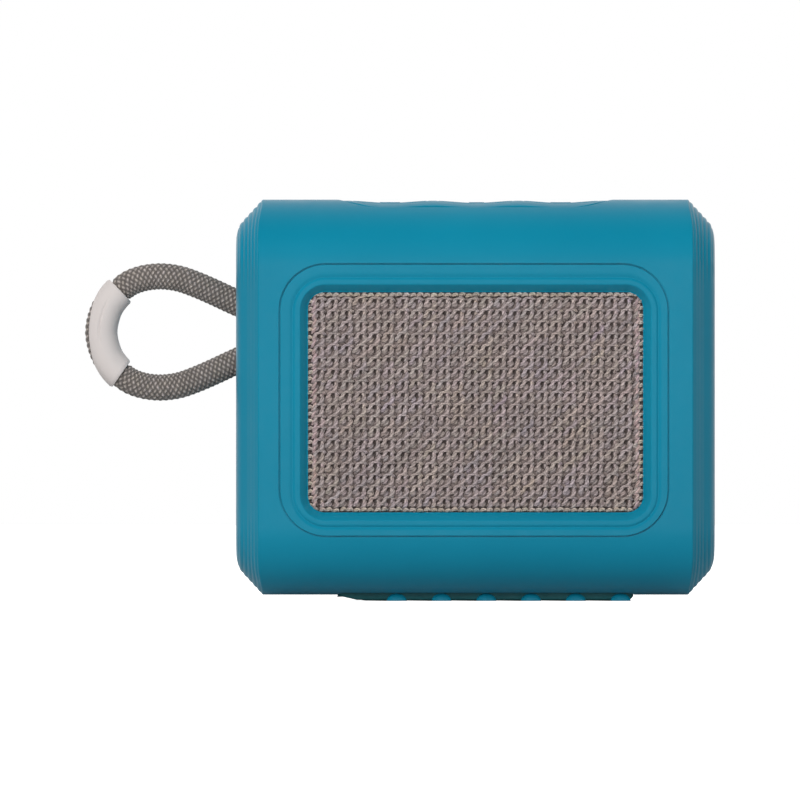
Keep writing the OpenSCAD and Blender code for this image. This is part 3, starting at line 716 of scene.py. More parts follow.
def rope_radius(line):
    """The cord fills the sleeve's slot, and is pinched where it goes into the sleeve's ends."""
    middle = np.clip(1 - ((line[:, 2] - LOOP_Z) / SLOT_HALF_Z) ** 2, 0, 1)[:, None]
    near = (line[:, 0] < -69)[:, None]
    turn = (circle(BRAID_SIDES) + math.pi) % (2 * math.pi) - math.pi
    outside = np.exp(-((turn / 0.55) ** 2))[None, :]
    steps = np.arange(len(line))[:, None]
    pinch = sum(np.exp(-((steps - end) * CORD_STEP / 0.4) ** 2) for end in sleeve_ends(line))
    return ROPE_D / 2 + 0.6 * np.sqrt(middle) * near * outside - 0.3 * pinch


def make_sleeve(line):
    """A moulded sleeve round the cord, slit along its outer side and gaping in the middle."""
    first, last = sleeve_ends(line)
    line = line[first:last + 1:3]
    out, heading = line_frames(line)
    lip = np.linspace(0, math.pi, 7)[1:-1]
    end_r = 0.22
    rings = []
    for i, centre in enumerate(line):
        z = centre[2] - LOOP_Z
        half = max(0.012, SLOT_ANGLE * max(0.0, 1 - (z / SLOT_HALF_Z) ** 2) ** 0.75)
        to_end = min(i, len(line) - 1 - i) * 3 * CORD_STEP
        edge = end_r - math.sqrt(max(0.0, end_r ** 2 - max(0.0, end_r - to_end) ** 2))
        outer, inner = SLEEVE_R - edge, SLEEVE_R - SLEEVE_WALL + edge * 0.6
        middle, lip_r = (outer + inner) / 2, (outer - inner) / 2
        turns = np.linspace(half, 2 * math.pi - half, SLEEVE_SIDES)
        # A faint fold in the skin, just outside the middle of the side that faces the grille's way
        fold = np.exp(-((turns - 1.42) / 0.06) ** 2) * smoothstep(-2.6, -0.5, z)
        fold *= 1 - smoothstep(4.5, 6.4, z)
        radii = np.concatenate([
            outer - 0.2 * fold, middle + lip_r * np.cos(lip),
            np.full(SLEEVE_SIDES, inner), middle - lip_r * np.cos(lip),
        ])
        tuck = np.sin(lip) * lip_r / middle
        angles = np.concatenate([turns, 2 * math.pi - half + tuck, turns[::-1], half - tuck])
        lower = 1 - smoothstep(0, 4, (len(line) - 1 - i) * 3 * CORD_STEP)
        slant = SLEEVE_SLANT * lower * (0.5 + 0.5 * np.cos(angles))
        ring = tube(line[i:i + 1], out[i:i + 1], TOWARDS_GRILLE, radii[None, :], angles)[0]
        rings.append(ring + heading[i] * slant[:, None])
    sleeve = add_mesh("sleeve", *loft(rings), sharp_angle=50)
    return finish_piece(sleeve, "loop", "sleeve_plastic", "loop_sleeve")


def make_loop():
    """The braided cord's loop, its turn round the pin, and its sleeve."""
    line = rope_line()
    rope = braided("rope", line, rope_radius(line), "loop_rope")
    bight = braided("rope_bight", bight_line(), ROPE_D / 2, "loop_rope_bight")
    sleeve = make_sleeve(line)


# ---- Case ----


def case_height(y):
    """Height of the case's top skin at a place front to back."""
    over = np.maximum(np.abs(y) - (CASE_D / 2 - EDGE_R), 0)
    return CASE_TOP - EDGE_R + np.sqrt(np.maximum(EDGE_R ** 2 - over ** 2, 0))


def bevel_line():
    """The bevel's profile, its outward normals, and how far each point is through the scallops."""
    line = even_line(spline([(x, d, 0) for x, d in BEVEL], 12), 0.105)[:, :2]
    slope = unit(np.gradient(line, axis=0))
    phase = (line[:, 0] - SCALLOP_FIRST) / (SCALLOP_LAST - SCALLOP_FIRST) * SCALLOPS
    return line, np.stack([slope[:, 1], -slope[:, 0]], 1), phase


def case_skin(name):
    """The whole outside of the case: a rounded box with scalloped bevels at both ends."""
    shape = outline(CASE_D, CASE_H, EDGE_R, arc=18, across=8, up=44)
    height = shape[0][:, 1] + CASE_MID
    strength = np.maximum(smoothstep(59, 70, height), 0.6 * (1 - smoothstep(7, 19, height)))
    strength = 0.06 + 0.94 * strength
    crease = CREASE_SHIFT * smoothstep(12, 20, np.abs(shape[0][:, 0]))
    line, slant, phase = bevel_line()
    wave = np.where((phase > 0) & (phase < SCALLOPS), np.abs(np.sin(math.pi * phase)) - 0.45, 0)
    rings = []
    for (x, inset), (nx, nd), lift in zip(line, slant, wave):
        rise = SCALLOP_DEPTH * lift * strength
        place = x + nx * rise + crease * (1 - smoothstep(41.3, 45.0, x))
        growth = -(inset + nd * rise)[:, None]
        rings.append(sweep(shape, "x", [(place, growth)], (0, CASE_MID))[0])
    stops = np.linspace(-line[0, 0], line[0, 0], 22)[1:-1]
    middle = [rings[0] * (0, 1, 1) + (x, 0, 0) for x in stops]
    mirrored = [ring * (-1, 1, 1) for ring in reversed(rings)]
    return add_mesh(name, *loft(mirrored + middle + rings), sharp_angle=30)


def case_prism(inset, half):
    shape = outline(CASE_D - 2 * inset, CASE_H - 2 * inset, EDGE_R - inset, arc=14)
    return cutter(shape, "x", [(-half, 0), (half, 0)], (0, CASE_MID))


# Outline of the joint between shell and cover, and of the bottom of the groove at their seam
RIM = outline(84.8, 73, EDGE_R - WALL)
SEAM_FLOOR = outline(
    2 * (HALF_W - SEAM_DEPTH), 2 * (case_height(SPLIT) - CASE_MID - SEAM_DEPTH), 9, arc=14
)


def case_cavity():
    """What is hollow inside the case: everything but its walls, rims, blocks and posts."""
    wall = 1.5
    blocks = [
        ring_cutter(RIM, -4.2, 0, SPLIT - 1.6, SPLIT + 1.6),
        cutter(outline(FRAME_W + 6, FRAME_H + 6, FRAME_R + 1), "y", [(FRONT, 0), (-15, 0)], (0, FRAME_Z)),
        box_cutter((-30, -16, 72.6), (30, SPLIT, CASE_TOP)),
        box_cutter(
            (-HALF_W, -POCKET_W / 2 - wall, LOOP_Z - POCKET_H / 2 - wall),
            (POCKET_X + wall, POCKET_W / 2 + wall, LOOP_Z + POCKET_H / 2 + wall),
        ),
        box_cutter((42.2, 0, PORT_Z - 11.5), (HALF_W, SPLIT - 1, PORT_Z + 11.5)),
    ]
    blocks += [cutter(round_outline(2.8), "y", [(-17, 0), (BACK - 1, 0)], place) for place in SCREWS]
    cavity = combine(case_prism(WALL, 42), [case_prism(7, 44.3)], "UNION")
    return combine(cavity, blocks)


def top_rings(shape, centre_x, heights):
    """Rings that follow a top surface: heights are (surface function or None, lift, growth)."""
    rings = []
    for surface, lift, growth in heights:
        ring = sweep(shape, "z", [(lift, growth)], (centre_x, 0))[0]
        if surface:
            ring[:, 2] += surface(ring[:, 0], ring[:, 1])
        rings.append(ring)
    return rings


# How far a top cutter starts over the surface, so that its flat end clears the curve
TOP_CLEARANCE = 2.0


def top_cutter(shape, centre_x, surface, radius, floor):
    """A cutter whose mouth is rounded where it meets a curved top surface."""
    mouth = [(-TOP_CLEARANCE, radius)] + rounded_mouth(0, 1, radius)[1:]
    heights = [(surface, -depth, growth) for depth, growth in mouth]
    return add_mesh("cutter", *loft(top_rings(shape, centre_x, heights + [(None, floor, 0)])))


def panel_shape(growth):
    size = PANEL_HIGH - PANEL_LOW + 2 * growth
    return outline(size[0], size[1], 8 + growth, arc=14, across=60, up=12)


def make_shell():
    """The case with its recesses and openings, up to the joint with the rear cover."""
    gap = 2 * FRAME_GAP
    frame_shape = outline(FRAME_W + gap, FRAME_H + gap, FRAME_R + FRAME_GAP, arc=20)
    groove = [(-1.0, 0.06), (0.0, 0.06), (0.02, 0.02), (0.06, 0.0), (GROOVE_D, 0.0)]
    frame_cut = [(FRONT + depth, GROOVE_W + growth) for depth, growth in groove]
    frame_cut += [(FRONT + GROOVE_D + 0.01, 0), (FRAME_BACK + 0.2, 0)]
    end = HALF_W
    inside = (42, 0)
    fine_mouth = rounded_mouth(end, -1, 0.15)
    pocket_cut = rounded_mouth(-end, 1, 0.5) + [(POCKET_X, 0)]
    key_cut = rounded_mouth(end, -1, 0.2) + [inside]
    openings = [
        (outline(51, 24, 3), "z", [(71, 0), (80, 0)], (0, 0)),
        (outline(POCKET_W, POCKET_H, 2, arc=8), "x", pocket_cut, (0, LOOP_Z)),
        (round_outline(1.55, 24), "y", [(-5, 0), (6.5, 0)], (PIN_X, LOOP_Z)),
        (round_outline(0.95, 24), "x", [(end + 1, 0), inside], (SIDE_Y, LIGHT_Z)),
        (round_outline(0.5, 20), "x", fine_mouth + [inside], (SIDE_Y, MIC_Z)),
        (outline(11.4, 19.4, 1.6, arc=6), "x", fine_mouth + [(end - 1.8, 0)], (SIDE_Y, PORT_Z)),
        (outline(4.4, 10.2, 2.1), "x", [(end, 0), inside], (SIDE_Y, PORT_Z)),
        (outline(57.7, 22.3, 2.15), "z", [(0, 0), (2, 0)], (2, 0)),
        (round_outline(4.25), "x", key_cut, (SIDE_Y, POWER_Z)),
        (round_outline(4.25), "x", key_cut, (SIDE_Y, PAIRING_Z)),
    ]
    cuts = [
        case_cavity(),
        slab_cutter(SPLIT - SEAM_TIGHT, 30),
        ring_cutter(SEAM_FLOOR, 0, 5, SPLIT - SEAM, SPLIT + 1),
        cutter(frame_shape, "y", frame_cut, (FRAME_SHIFT, FRAME_Z)),
        cutter(round_outline(20.4, 96), "y", [(-18, 0), (-14, 0)], (0, CLOTH_Z)),
        top_cutter(panel_shape(PANEL_GAP), 0, lambda x, y: case_height(y), 0.14, PANEL_FLOOR),
    ]
    cuts += [cutter(*opening) for opening in openings]
    shell = weigh_normals(combine(case_skin("shell"), cuts), 30)
    finish_piece(shell, "root", "case_plastic", "main_shell")


def make_rear_cover():
    """The back of the case, with the radiator's opening and four screw wells."""
    opening = rounded_mouth(BACK, -1, 0.6) + [(SPLIT, 0)]
    well = rounded_mouth(BACK, -1, 0.3) + [(BACK - 2, 0)]
    cuts = [
        case_cavity(),
        slab_cutter(-30, SPLIT + SEAM_TIGHT),
        ring_cutter(SEAM_FLOOR, 0, 5, SPLIT - 1, SPLIT + SEAM),
        ring_cutter(RIM, -2.8, -1.6, SPLIT - 1, SPLIT + 0.8),
        cutter(racetrack(RADIATOR_R), "y", opening, (0, CLOTH_Z)),
    ]
    for place in SCREWS:
        cuts.append(cutter(round_outline(2.2, 32), "y", well, place))
        cuts.append(cutter(round_outline(1.15, 20), "y", [(BACK - 1, 0), (0, 0)], place))
    cover = weigh_normals(combine(case_skin("rear_skin"), cuts), 30)
    finish_piece(cover, "root", "case_plastic", "rear_cover")


# ---- Grille ----

FRAME_STEPS = {"arc": 18, "across": 6, "up": 6}
# The frame's front: (how far in, depth). 0 is its outside, 1 the valley round its lip, 2 the window
FRAME_PROFILE = [
    (0.0, 1.2), (0.0, 0.2), (0.006, 0.08), (0.02, 0.02), (0.06, 0.0), (0.3, 0.0), (0.6, 0.02),
    (0.8, 0.08), (0.93, 0.18), (1.0, 0.22), (1.05, 0.19), (1.10, 0.09), (1.15, 0.03), (1.22, 0.01),
    (1.34, 0.01), (1.44, 0.03), (1.50, 0.09), (1.54, 0.22), (1.64, 0.56), (1.74, 0.92),
    (1.84, 1.32), (1.93, 1.67), (2.0, 1.75),
]


def frame_ring(inwards, y):
    """A ring of the frame, between its outline, the valley's and the window's."""
    shapes = [
        outline(FRAME_W, FRAME_H, FRAME_R, **FRAME_STEPS)[0] + (FRAME_SHIFT, FRAME_Z),
        outline(*VALLEY, **FRAME_STEPS)[0] + (0, CLOTH_Z),
        outline(WINDOW_W, WINDOW_H, WINDOW_R, **FRAME_STEPS)[0] + (0, CLOTH_Z),
    ]
    first = 0 if inwards < 1 else 1
    share = inwards - first
    flat = shapes[first] * (1 - share) + shapes[first + 1] * share
    return sweep((flat, 0), "y", [(y, 0)])[0]


def make_grille_frame():
    """The frame round the cloth: flush at its seam, a shallow valley, a raised lip, a slanted wall."""
    profile = spline([(inwards, FRONT + depth, 0) for inwards, depth in FRAME_PROFILE], 5)
    rings = [frame_ring(inwards, y) for inwards, y, _ in profile]
    pocket = outline(CLOTH_W + 0.3, CLOTH_H + 0.3, 3.15, **FRAME_STEPS)
    rings += [*sweep(pocket, "y", [(CLOTH_FRONT, 0), (FRAME_BACK, 0)], (0, CLOTH_Z))]
    rings.append(frame_ring(0, FRAME_BACK))
    surround = weigh_normals(add_mesh("grille_surround", *loft(rings, loop=True)), 50)
    finish_piece(surround, "root", "frame_plastic", "grille_frame")


WALE = 2.708
COURSE = 2.28
KNIT_LEFT = -4.77
KNIT_LEVEL = 39.96
KNIT_FACE = CLOTH_FRONT + 0.15
EDGE_PITCH = 1.36
# Yarns of one stitch: (across in wales, up in courses, depth in millimetres) along each, and radii
LEG = [
    (0.01, -0.42, -0.2), (0.06, -0.34, 0.10), (0.13, -0.27, 0.30), (0.20, -0.18, 0.40),
    (0.26, -0.07, 0.46), (0.295, 0.05, 0.46), (0.33, 0.15, 0.42), (0.39, 0.235, 0.36),
    (0.48, 0.275, 0.34), (0.58, 0.30, 0.38), (0.66, 0.345, 0.44), (0.735, 0.44, 0.50),
    (0.79, 0.56, 0.52), (0.825, 0.70, 0.48), (0.84, 0.82, 0.30), (0.845, 0.93, -0.1),
]
LEG_R = [0.22, 0.31, 0.37, 0.40, 0.40, 0.38, 0.34, 0.29, 0.27, 0.29, 0.34, 0.40, 0.42, 0.40, 0.32, 0.20]
HEEL = [(0.68, 0.37, 0.1), (0.76, 0.30, 0.30), (0.86, 0.22, 0.34), (0.95, 0.155, 0.24), (1.03, 0.10, -0.1)]
HEEL_R = [0.18, 0.24, 0.27, 0.24, 0.14]
BLOB = [(0.22, 0.44, -0.25), (0.29, 0.54, 0.04), (0.35, 0.66, 0.12), (0.38, 0.78, 0.02), (0.40, 0.88, -0.3)]
BLOB_R = [0.28, 0.40, 0.44, 0.38, 0.24]
POST = [(0.72, 0.22, -0.2), (0.77, 0.10, -0.02), (0.79, -0.05, -0.02), (0.80, -0.18, -0.2)]
POST_R = [0.28, 0.38, 0.38, 0.28]
# Edge stitches, the same way
BEAD = [(-0.2, -0.12, 0.0), (-0.1, -0.02, 0.36), (0.04, 0.05, 0.46), (0.16, 0.0, 0.3), (0.22, -0.1, 0.0)]
BEAD_R = [0.2, 0.33, 0.36, 0.3, 0.18]
CHAIN = [(-0.14, -0.34, 0.0), (-0.06, -0.16, 0.4), (0.03, 0.06, 0.5), (0.1, 0.26, 0.4), (0.12, 0.42, 0.0)]
CHAIN_R = [0.2, 0.3, 0.34, 0.3, 0.2]
PLY_DEPTH = 0.36
PLY_TWIST = 3.2
YARN_LIFT = 0.9
YARN_FLATNESS = 0.75
YARN_WOBBLE = 0.065
YARN_LEAN = 0.09
YARN_SLUB = 0.035
# Middles of the two holes of a stitch, and their size: across in wales, up in courses
HOLES = [(0.03, -0.06), (0.525, -0.05)]
HOLE_SIZE = (0.09, 0.16)


def strand_rings(points, radii, sides=12, plies=3):
    """Rings of a plied yarn through points in stitch units, with UVs along and round it, and a painted shade
    that is darker in the grooves between its plies.
    """
    line = spline(np.array(points) * (WALE, COURSE, YARN_LIFT), 3)
    thick = np.interp(np.linspace(0, 1, len(line)), np.linspace(0, 1, len(radii)), radii)
    lengths = run_lengths(line)
    heading = unit(np.gradient(line, axis=0))
    side = unit(np.cross(heading, (0, 0, 1.0)))
    up = np.cross(side, heading) * YARN_FLATNESS
    angles = circle(sides)
    turn = plies / 2 * (angles[None, :] + 2 * math.pi * lengths[:, None] / PLY_TWIST)
    radius = thick[:, None] * (1.06 - PLY_DEPTH * (1 - np.sqrt(np.abs(np.cos(turn)))))
    # Painted shade: darker in the grooves between the plies
    shade = 0.3 + 0.7 * smoothstep(0.0, 0.85, np.abs(np.cos(turn)))
    uv = np.stack(np.meshgrid(lengths, angles / (2 * math.pi), indexing="ij"), -1)
    return tube(line, side, up, radius, angles), uv, shade


class Knitting:
    """Collects yarns into one mesh, with UVs along each and a colour for each, painted with shade."""

    def __init__(self, seed):
        self.yarns, self.uv, self.tint = [], [], []
        self.random = np.random.default_rng(seed)

    def add(self, shape, x, z, shades, edge=False):
        """One yarn at a place on the cloth, a little off its pattern as real yarn is."""
        rings, uv, shade = shape
        # shades scales the yarn's colour: a painted brightness for the stitches, and the straw and pink tones
        # of the edge chain
        tint = self.yarn_tint(x, z) * shades
        shift = self.random.normal(0, YARN_WOBBLE, 3)
        lean = self.random.normal(0, YARN_LEAN)
        slub = self.random.normal(0, YARN_SLUB, (len(rings), 1, 3))
        flat = (rings + slub).reshape(-1, 3) + shift
        flat[:, 0] += lean * (flat[:, 1] - flat[:, 1].mean())
        placed = np.stack([x + flat[:, 0], KNIT_FACE - flat[:, 2], z + flat[:, 1]], 1)
        placed[:, 1] = tucked(placed, edge)
        self.yarns.append((placed, loft(rings)[1]))
        self.uv.append(uv.reshape(-1, 2) + self.random.uniform(0, 40, 2))
        self.tint.append(shade.reshape(-1, 1) * tint)

    def yarn_tint(self, x, z):
        """The colour of one yarn: slow patches of straw and pink, and each yarn a little its own."""
        patch = math.sin(x * 0.31 + 1.3 * math.sin(z * 0.17))
        patch *= math.cos(z * 0.27 + 0.8 * math.sin(x * 0.11))
        level = 1 + self.random.normal(0, 0.08)
        pink = self.random.normal(0, 0.012)
        straw = 0.02 * patch + self.random.normal(0, 0.014)
        return level * np.array([1 + pink + straw, 1 - pink * 0.6 + straw * 0.8, 1 - straw * 1.4])

    def build(self, name):
        cloth = add_mesh(name, *merge(self.yarns), sharp_angle=180)
        paint(cloth, np.vstack(self.tint), np.vstack(self.uv))
        return finish_piece(cloth, "root", "grille_cloth", material=KNIT)


def depth_in_window(x, z):
    """How far inside the cloth window a place is."""
    dx = np.abs(x) - (WINDOW_W / 2 - WINDOW_R)
    dz = np.abs(z - CLOTH_Z) - (WINDOW_H / 2 - WINDOW_R)
    corner = np.hypot(np.maximum(dx, 0), np.maximum(dz, 0))
    return WINDOW_R - np.where((dx > 0) & (dz > 0), corner, np.maximum(dx, dz))


def tucked(points, edge=False):
    """How far forward the yarns stand: the cloth dips under the frame, behind its edge chain."""
    inside = depth_in_window(points[:, 0], points[:, 2])
    drop, start, stop = (0.6, -0.1, 0.3) if edge else (0.9, 0.5, 1.2)
    y = points[:, 1] + drop * (1 - smoothstep(start, stop, inside))
    return np.where(inside < 0.03, np.maximum(y, CLOTH_FRONT + 0.05), y)


def make_stitches():
    """The yarns of the cloth: each stitch has a leg in front, a heel, and two behind them. Each kind is
    painted at its own brightness, as painted light and shade.
    """
    kinds = {
        # The number after each shape is a painted brightness for the same yarn: darker for the blob, which
        # lies behind, and brightest for the post, as painted light and shade
        "leg": (strand_rings(LEG, LEG_R), 0.95),
        "heel": (strand_rings(HEEL, HEEL_R), 0.95),
        "blob": (strand_rings(BLOB, BLOB_R, sides=20, plies=5), 0.86),
        "post": (strand_rings(POST, POST_R), 1.0),
    }
    places = [(KNIT_LEFT + i * WALE, KNIT_LEVEL + k * COURSE) for k in range(-12, 12) for i in range(-14, 15)]
    pieces = []
    for seed, (kind, (shape, level)) in enumerate(kinds.items()):
        knitting = Knitting(seed)
        for x, z in places:
            if depth_in_window(x + WALE / 2, z + COURSE / 2) > -1.5:
                knitting.add(shape, x, z, level)
        pieces.append(knitting.build("knit_" + kind))
    return pieces


def make_selvedge():
    """The chain of stitches that shows along the window's edges."""
    knitting = Knitting(9)
    bead, chain = strand_rings(BEAD, BEAD_R), strand_rings(CHAIN, CHAIN_R)
    straw, pink = np.array([1.1, 1.12, 1.0]), np.array([1.1, 0.98, 1.0])
    corner = 0.9
    half_w = WINDOW_W / 2 - 0.42
    half_h = WINDOW_H / 2 - 0.5
    for k in range(round(2 * (half_w - corner) / EDGE_PITCH) + 1):
        for side in (-1, 1):
            x = -half_w + corner + k * EDGE_PITCH
            knitting.add(bead, x, CLOTH_Z + side * half_h, straw, edge=True)
    for k in range(round(2 * (half_h - corner) / EDGE_PITCH) + 1):
        z = CLOTH_Z - half_h + corner + k * EDGE_PITCH
        for side in (-1, 1):
            knitting.add(bead, side * half_w, z, straw, edge=True)
            knitting.add(chain, side * (half_w - 0.75), z, pink, edge=True)
    return knitting.build("knit_edge")


def hole_depth(x, z):
    """1 in the middle of a hole between the yarns and 0 away from it."""
    depth = np.zeros(np.shape(x))
    for across, up in HOLES:
        u = (x - KNIT_LEFT) / WALE - across
        v = (z - KNIT_LEVEL) / COURSE - up
        near = ((u - np.round(u)) / HOLE_SIZE[0]) ** 2 + ((v - np.round(v)) / HOLE_SIZE[1]) ** 2
        depth = np.maximum(depth, np.exp(-near ** 1.5))
    return depth


def make_back_loops():
    """The loops behind the front yarns, as one pitted layer with a hole at each crossing, painted darker as
    painted shade.
    """
    step, margin, thickness = 0.19, 0.5, 0.25
    across = np.arange(-WINDOW_W / 2 - margin, WINDOW_W / 2 + margin, step)
    up = np.arange(CLOTH_Z - WINDOW_H / 2 - margin, CLOTH_Z + WINDOW_H / 2 + margin, step)
    x, z = (grid.ravel() for grid in np.meshgrid(across, up))
    rng = np.random.default_rng(21)
    x = x + rng.normal(0, 0.02, x.shape)
    z = z + rng.normal(0, 0.02, z.shape)
    hole = hole_depth(x, z)
    lumps = rng.normal(0, 0.035, x.shape)
    front = np.stack([x, KNIT_FACE + 0.12 + lumps + 0.58 * hole, z], 1)
    front[:, 1] = np.minimum(tucked(front), CLOTH_FRONT + 0.95)
    wide, count = len(across), len(front)
    cell = (np.arange(len(up) - 1)[:, None] * wide + np.arange(wide - 1)).ravel()
    quads = np.stack([cell, cell + 1, cell + 1 + wide, cell + wide], 1)
    rim = np.concatenate([
        np.arange(wide), np.arange(1, len(up)) * wide + wide - 1,
        count - 2 - np.arange(wide - 1), np.arange(len(up) - 2, 0, -1) * wide,
    ])
    after = np.roll(rim, -1)
    sides = np.stack([rim, after, after + count, rim + count], 1)
    faces = np.vstack([quads, quads[:, ::-1] + count, sides]).tolist()
    layer = add_mesh("knit_loops", np.vstack([front, front + (0, thickness, 0)]), faces, sharp_angle=180)
    # Painted shade: the layer is painted at half the yarn's brightness because it lies behind the front
    # yarns, and darker still in each hole
    shade = 0.5 * (1 - 0.7 * hole) * (1 + rng.normal(0, 0.1, x.shape))
    tint = np.stack([shade, shade * 0.97, shade * 0.95], 1)
    paint(layer, np.tile(tint, (2, 1)), np.tile(np.stack([x, z * 0.3], 1), (2, 1)))
    return finish_piece(layer, "root", "grille_cloth", material=KNIT)


def make_cloth():
    """The cloth's dark ground, stretched behind the frame, with the yarns on it."""
    width, height = CLOTH_W - 0.4, CLOTH_H - 0.4
    points, _ = outline(width, height, 2.8, arc=8, across=24, up=18)
    rings = []
    for s in np.linspace(0.04, 1, 20):
        ring = sweep((points * s, 0), "y", [(CLOTH_FRONT + 0.3, 0)], (0, CLOTH_Z))[0]
        ring[:, 1] += 0.03 * np.sin(points[:, 0] * s * 2.3) * np.sin(points[:, 1] * s * 2.8)
        rings.append(ring)
    for s in np.linspace(1, 0.04, 20):
        rings += [*sweep((points * s, 0), "y", [(CLOTH_HIGH[1], 0)], (0, CLOTH_Z))]
    cloth = add_mesh("cloth", *loft(rings), sharp_angle=60)
    finish_piece(cloth, "root", "grille_cloth", "grille_fabric")
    yarns = make_stitches() + [make_selvedge(), make_back_loops()]


# ---- Top buttons ----

KEYS = {"volume_down": -KEY_PITCH, "play": 0, "volume_up": KEY_PITCH}


def panel_height(x, y):
    """Height of the top panel and its keys: the case's own curve, with three soft dishes."""
    wave = np.where(np.abs(x) < 1.5 * KEY_PITCH, 0.5 + 0.5 * np.cos(2 * math.pi * x / KEY_PITCH), 0)
    drop = PANEL_DROP * (1 - smoothstep(9, 13.5, np.abs(y)))
    return case_height(y) - drop - DISH * wave


def top_block(name, shape, centre_x, floor, rim):
    """A block on the top panel: straight sides, a rounded rim and the panel's waved top."""
    edge = rounded_end(0, -1, rim)[::-1]
    heights = [(None, floor, 0)] + [(panel_height, lift, growth) for lift, growth in edge]
    rings = top_rings(shape, centre_x, heights)
    flat = rings[-1][:, :2] - (centre_x, 0)
    for s in np.linspace(1, 0.03, 24)[1:]:
        rings += top_rings((flat * s, 0), centre_x, [(panel_height, 0, 0)])
    return add_mesh(name, *loft(rings))


def key_shape(growth, corner):
    return outline(KEY_W + growth, KEY_D + growth, corner, arc=10, across=16, up=20)


def make_top():
    """The top panel with its three keys."""
    panel = top_block("top_panel", panel_shape(-PANEL_GAP), 0, PANEL_FLOOR, 0.2)
    window = key_shape(2 * KEY_GAP, 3)
    cuts = [top_cutter(window, x, panel_height, 0.18, PANEL_FLOOR - 1) for x in KEYS.values()]
    weigh_normals(combine(panel, cuts), 40)
    finish_piece(panel, "root", "button_rubber", "button_panel")
    for name, x in KEYS.items():
        key = top_block(name + "_key", key_shape(0, 2.75), x, PANEL_FLOOR - 0.1, 0.3)
        finish_piece(key, name, "button_rubber", name + "_button")


def bar(length, width):
    return outline(length, width, min(length, width) * 0.48, arc=5, across=10, up=10)


def arrow():
    """A triangle pointing right, with rounded corners."""
    points, normals = [], []
    for corner, first in (((1.5, 0), -60), ((-1.0, 1.45), 60), ((-1.0, -1.45), 180)):
        turns = np.radians(np.linspace(first, first + 120, 7))
        normals.append(np.stack([np.cos(turns), np.sin(turns)], 1))
        points.append(corner + 0.25 * normals[-1])
    return np.vstack(points), np.vstack(normals)


def make_key_signs():
    """Raised minus, play and plus signs on the keys."""
    signs = {"volume_down": [bar(4, 0.7)], "play": [arrow()], "volume_up": [bar(4, 0.7), bar(0.7, 4)]}
    profile = [(-0.3, 0), (0.06, 0), (0.11, -0.02), (0.14, -0.08)]
    heights = [(panel_height, lift, growth) for lift, growth in profile]
    for name, shapes in signs.items():
        solids = [add_mesh("sign", *loft(top_rings(shape, KEYS[name], heights))) for shape in shapes]
        sign = combine(solids[0], solids[1:], "UNION") if solids[1:] else solids[0]
        sign.name = name + "_sign"
        smooth(sign, 40)
        finish_piece(sign, name, "button_rubber")


# ---- Foot ----


def foot_lift(x):
    """The foot's left end slopes up to the case, and its right end is rounded."""
    slope = np.clip((FOOT_LOW[0] + 4.2 - x) / 4.2, 0, 1) * 1.1
    return slope + np.clip((x - FOOT_HIGH[0] + 1.4) / 1.4, 0, 1) ** 2 * 0.95


def rib_rings(x):
    """One leaning rib: a bar with a rounded underside, blunt at both ends."""
    half = RIB_W / 2
    side = [(half - 0.5, 0.0), (half - 0.15, 0.2), (half, 0.5), (half, 1.6)]
    section = np.array([(-across, z) for across, z in reversed(side)] + side)
    rings = []
    for t, shrink in ((0, 0.55), (0.01, 0.82), (0.03, 1), (0.25, 1), (0.5, 1), (0.75, 1), (0.97, 1),
                      (0.99, 0.82), (1, 0.55)):
        across = x - RIB_LEAN * t + section[:, 0] * shrink
        z = np.maximum(section[:, 1], 0.35 * (1 - shrink))
        rings.append(np.stack([across, np.full(len(z), -10.2 + 20.2 * t), z], 1))
    return rings


def make_foot():
    """A rubber foot with leaning ribs, rounded below."""
    centre = (FOOT_LOW[0] + FOOT_HIGH[0]) / 2
    shape = outline(FOOT_HIGH[0] - FOOT_LOW[0], 20.6, 1.5, arc=6, across=24)
    stations = [(2.0, 0), (0.9, 0)] + rounded_end(0.2, 1, 0.4)[::-1]
    solids = [sweep(shape, "z", stations, (centre, 0))]
    solids += [rib_rings(RIB_FIRST + i * RIB_PITCH) for i in range(RIB_COUNT)]
    points, faces = merge(loft(solid) for solid in solids)
    points[:, 2] = np.maximum(points[:, 2], foot_lift(points[:, 0]))
    finish_piece(add_mesh("foot", points, faces), "root", "foot_rubber", "foot_pad")


def make_rib_highlight_tips():
    """Rounded tips on the front and back ends of the ribs, in the case's lighter teal: a painted highlight
    where the rib ends catch the light.
    """
    _, normals = round_outline(1, 32)
    ellipse = normals * (1.95, 0.7)
    tips = []
    for side, offset in ((-1, 0), (1, -RIB_LEAN)):
        for i in range(RIB_COUNT):
            x = RIB_FIRST + i * RIB_PITCH + offset
            lift = foot_lift(x)
            angles = [math.pi / 2 * k / 9 for k in range(9)]
            stations = [(0.02 + lift + (1.5 - lift) * math.sin(a), math.cos(a)) for a in angles]
            tips.append(loft(sweep((0 * ellipse, ellipse), "z", stations, (x, side * 10.3))))
    # Painted highlight: the tips take the case's bright teal, not the foot's dark rubber, to stand for light
    # on the rib ends
    finish_piece(add_mesh("rib_highlight_tips", *merge(tips)), "root", "case_plastic")


# ---- Right end ----


def make_end_button(name, z):
    """A round key with a rounded rim and a shallow dish."""
    profile = [(43.2, 4.8), (44.1, 4.8), (44.1, 4.0), (46.1, 4.0), (46.26, 3.93), (46.36, 3.8),
               (46.4, 3.6), (46.38, 3.3), (46.3, 2.6), (46.22, 1.6), (46.18, 0.6), (46.17, 0.1)]
    rings = sweep(round_outline(0, 64), "x", profile, (SIDE_Y, z))
    finish_piece(add_mesh(name + "_key", *loft(rings)), name, "button_rubber", name + "_button")


